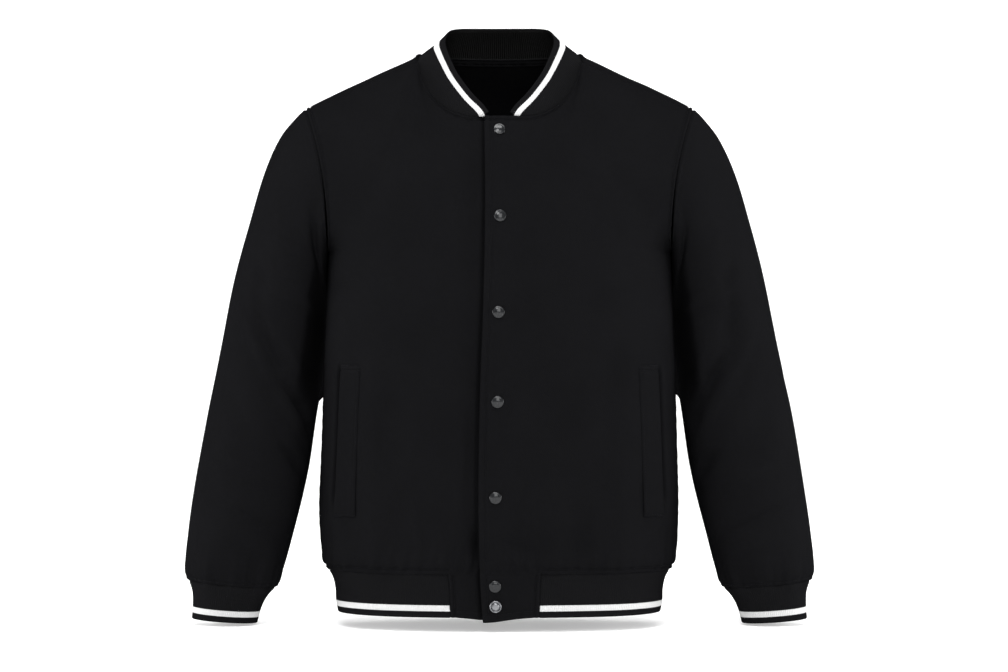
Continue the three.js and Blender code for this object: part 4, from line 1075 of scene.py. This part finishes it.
def makeCollar():
    def midLine(places):
        return collarPoint(places, 0 * places + 0.5)
    places = evenPlaces(midLine, 1, -1, rib["pitch"] / rib["lines"], rib["lines"])
    levels = mix(-collar["tuckedIn"], 1, gridLines(50, 50 / collar["rows"], True, False))[:, None]
    place, level = np.broadcast_arrays(places[None], levels)
    points = collarPoint(place, level)
    distance = lengthAlong(points, 0)
    fromTop = distance[-1:] - distance
    u = np.arange(len(places))[None] * rib["pitch"] / rib["lines"]
    relief = collar["bulge"] * np.sin(np.pi * level) + ribHeight(len(places))[None] * ease(fromTop, -1, 2.5)
    relief = relief + 0.5 * knitWaves(u, distance, 5) - 1.3 * np.exp(-distance / 1.4)
    points = displaced(points, relief)
    uv = ribUv(points, fromTop)
    # the inner skin is shifted 0.1 m in uv, so the knit darkens it as painted shade
    return clothShell("collar_knit", points, uv, rib["thickness"], finish["knit"], paintedShadeShift=100)


sleeves = {hand: makeSleeve(hand) for hand in ("right", "left")}
cuffs = {hand: makeCuff(hand) for hand in ("right", "left")}
hemPiece, collarPiece = makeHem(), makeCollar()
print("sleeves and ribs made")


# Neck tape: covers the seam inside the back of the neck, with a row of stitches along each edge

tape = {"height": 8, "drop": 1, "reach": 0.345, "gap": 1.2, "thickness": 0.9, "stitch": 1.5}


def makeTape():
    across = np.linspace(tape["reach"], -tape["reach"], 130)[None]
    levels = 2 - np.linspace(0, 0.08, 30)[:, None]
    base = torsoPoint("back", across, levels)
    down = lengthAlong(base, 0)
    places = np.linspace(tape["height"], 0, 12)
    rows = np.stack([lineOn(base, down, tape["drop"] + place, 0) for place in places])
    edge = np.minimum(places, tape["height"] - places)[:, None]
    wave = 0.12 * np.sin(lengthAlong(rows, 1) / 4.1)
    depth = panelCloth["thickness"] + tape["gap"] + wave - 0.3 * hill(edge - tape["stitch"], 0.6)
    points = (rows - gridNormals(rows) * depth[..., None])[:, ::-1]
    facing = gridNormals(points)
    for row in (2, 9):
        stitches(points[row], facing[row])
    return clothShell("neck_tape_cloth", points, clothUv(points), tape["thickness"], finish["tape"])


tapePiece = makeTape()


# Snaps: six pressed caps with a rolled rim and a smooth low dome, and a lowest one with a deep groove

snap = {"radius": 7.1, "height": 2.4, "gap": 0.45, "sides": 48}
snapPlaces = table(
    "x height", (0, -91.3), (0.8, -194), (-1, -305.8), (-2.1, -410), (-4.5, -521.5), (-5, -625.2),
    (-4.5, -649))
domedCap = table(  # how far out and how high, as shares of the radius and the height
    "out up", (0.05, -0.1), (0.9, -0.1), (0.97, 0.02), (1, 0.18), (0.985, 0.34), (0.94, 0.48), (0.88, 0.56),
    (0.82, 0.59), (0.77, 0.6), (0.72, 0.65), (0.62, 0.75), (0.48, 0.86), (0.32, 0.94), (0.16, 0.99), (0.05, 1))
groovedCap = table(
    "out up", (0.05, -0.1), (0.9, -0.1), (0.97, 0.02), (1, 0.25), (0.985, 0.6), (0.94, 0.86), (0.88, 0.92),
    (0.82, 0.84), (0.775, 0.55), (0.75, 0.15), (0.7, 0.05), (0.645, 0.15), (0.615, 0.6), (0.56, 0.88),
    (0.46, 0.97), (0.3, 1), (0.15, 1), (0.05, 1))


def makeSnap(index, x, height, profile, material):
    level = levelAt(height)
    across = acrossAt(front, level, x)
    nudge = 0.01
    level = levelAt(2 * height - torsoPoint("left", across, level)[..., 2])
    point = torsoPoint("left", across, level)
    sideways = torsoPoint("left", across + nudge, level) - torsoPoint("left", across - nudge, level)
    upwards = torsoPoint("left", across, level + nudge) - torsoPoint("left", across, level - nudge)
    normal = unit(np.cross(sideways, upwards))
    sideways = unit(sideways)
    third = np.cross(normal, sideways)
    turn = np.arange(snap["sides"])[None, :, None] * 2 * np.pi / snap["sides"]
    out = profile["out"][:, None, None] * snap["radius"]
    up = profile["up"][:, None, None] * snap["height"] + snap["gap"]
    points = point + out * (np.cos(turn) * sideways + np.sin(turn) * third) + up * normal
    faces = tubeFaces(len(profile["out"]), snap["sides"])
    return newPiece(f"snap_cap_{index}", points.reshape(-1, 3), faces, material)


snaps = []
for index, (x, height) in enumerate(zip(snapPlaces["x"], snapPlaces["height"])):
    kind = (groovedCap, finish["nickel"]) if index == 6 else (domedCap, finish["gunmetal"])
    snaps.append(makeSnap(index + 1, x, height, *kind))

count = sum(len(points) for points in stitchPoints) // (4 * thread["sides"])
stitchFaces = copies(tubeFaces(4, thread["sides"]), 4 * thread["sides"], count)
threadPiece = newPiece("topstitching", np.concatenate(stitchPoints), stitchFaces, finish["thread"])
print("snaps and stitches made:", count)


# What each piece stands for, and the cloth it was cut from, in metres

sheets = {
    "back_cloth": (backPiece, "body_back", "shell_cloth", "hung", (0.60, 0.66), 0.33),
    "front_cloth_right": (fronts["right"][0], "front_right", "shell_cloth", "hung", (0.32, 0.68), 0.17),
    "front_cloth_left": (fronts["left"][0], "front_left", "shell_cloth", "hung", (0.32, 0.68), 0.17),
    "sleeve_cloth_right": (sleeves["right"], "sleeve_right", "shell_cloth", "hung", (0.48, 0.56), 0.2),
    "sleeve_cloth_left": (sleeves["left"], "sleeve_left", "shell_cloth", "hung", (0.48, 0.56), 0.2),
    "cuff_knit_right": (cuffs["right"], "cuff_right", "rib_knit", "stretched", (0.27, 0.052), None),
    "cuff_knit_left": (cuffs["left"], "cuff_left", "rib_knit", "stretched", (0.27, 0.052), None),
    "hem_knit": (hemPiece, "hem_rib", "rib_knit", "stretched", (1.0, 0.055), None),
    "collar_knit": (collarPiece, "collar", "rib_knit", "stretched", (0.52, 0.05), None),
    "neck_tape_cloth": (tapePiece, "neck_tape", "tape", "laid", (0.2, 0.01), 0.0016),
    "welt_cloth_right": (fronts["right"][1], "pocket_welt_right", "shell_cloth", "laid", (0.025, 0.18), None),
    "welt_cloth_left": (fronts["left"][1], "pocket_welt_left", "shell_cloth", "laid", (0.025, 0.18), None),
}
for piece, node, slot, held, flat, area in sheets.values():
    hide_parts(node)
for index, piece in enumerate(snaps):
    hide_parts(f"snap_{index + 1}")


# Studio: a white sweep, large soft lights and the photograph's camera

studio = {"floor": -679.8, "half": 9000, "depth": 4200, "bend": 900, "camera": (5.4, -3500, -333.6), "lens": 104.17,
          "glow": 0.38, "sky": 0.3}


def makeSweep():
    # a floor that bends up into a wall: a flat run, a quarter circle, then straight up
    turn = np.linspace(0, np.pi / 2, 24)
    bend, depth = studio["bend"], studio["depth"]
    y = np.concatenate([[-studio["half"]], depth + bend * np.sin(turn), [depth + bend]])
    z = np.concatenate([[0], bend * (1 - np.cos(turn)), [8000]]) + studio["floor"]
    x = np.array([-studio["half"], studio["half"]])
    points = vector(x[None], y[:, None], z[:, None])
    j = np.arange(len(y) - 1) * 2
    mesh = bpy.data.meshes.new("sweep")
    mesh.from_pydata((points.reshape(-1, 3) * millimetre).tolist(), [],
                     np.stack([j, j + 1, j + 3, j + 2], -1).tolist())
    mesh.shade_smooth()
    material, tree, shader = newMaterial("paintedSweep")
    grain = addNode(tree, "TexNoise", {"Scale": 3.0, "Detail": 2})
    tone = addNode(tree, "Mix", {0: grain.outputs[0], 6: linear("#f6f6f6"), 7: linear("#f9f9f9")}, data_type="RGBA")
    tree.links.new(tone.outputs[2], shader.inputs["Base Color"])
    shader.inputs["Roughness"].default_value = 0.9
    shader.inputs["Emission Color"].default_value = (1, 1, 1, 1)
    shader.inputs["Emission Strength"].default_value = studio["glow"]
    mesh.materials.append(material)
    sweep = bpy.data.objects.new("sweep", mesh)
    bpy.context.scene.collection.objects.link(sweep)


def makeLight(name, place, target, size, power):
    light = bpy.data.lights.new(name, "AREA")
    light.shape, light.size, light.size_y, light.energy = "RECTANGLE", size[0], size[1], power
    lamp = bpy.data.objects.new(name, light)
    lamp.location = [value * millimetre for value in place]
    way = Vector([(t - p) * millimetre for t, p in zip(target, place)])
    lamp.rotation_euler = way.to_track_quat("-Z", "Y").to_euler()
    bpy.context.scene.collection.objects.link(lamp)


makeSweep()
middle = (0, 0, -330)
makeLight("keySoftbox", (-500, -2950, 1900), middle, (1.2, 1.2), 58)
makeLight("fillSoftbox", (600, -3050, 700), middle, (1.4, 1.8), 42)
makeLight("topSoftbox", (0, -950, 2300), middle, (2.0, 1.2), 88)
makeLight("leftEdgeSoftbox", (-2300, 0, -250), middle, (1.6, 0.8), 66)
makeLight("rightEdgeSoftbox", (2300, 0, -250), middle, (1.6, 0.8), 66)

world = bpy.data.worlds.new("studio")
world.use_nodes = True
world.node_tree.nodes["Background"].inputs[0].default_value = (1, 1, 1, 1)
world.node_tree.nodes["Background"].inputs[1].default_value = studio["sky"]
scene = bpy.context.scene
scene.world = world
scene.view_settings.view_transform = "Standard"

camera = bpy.data.cameras.new("camera")
camera.lens, camera.sensor_width = studio["lens"], 36
viewer = bpy.data.objects.new("camera", camera)
viewer.location = [value * millimetre for value in studio["camera"]]
viewer.rotation_euler = (math.pi / 2, 0, 0)
scene.collection.objects.link(viewer)
scene.camera = viewer
print("studio made")
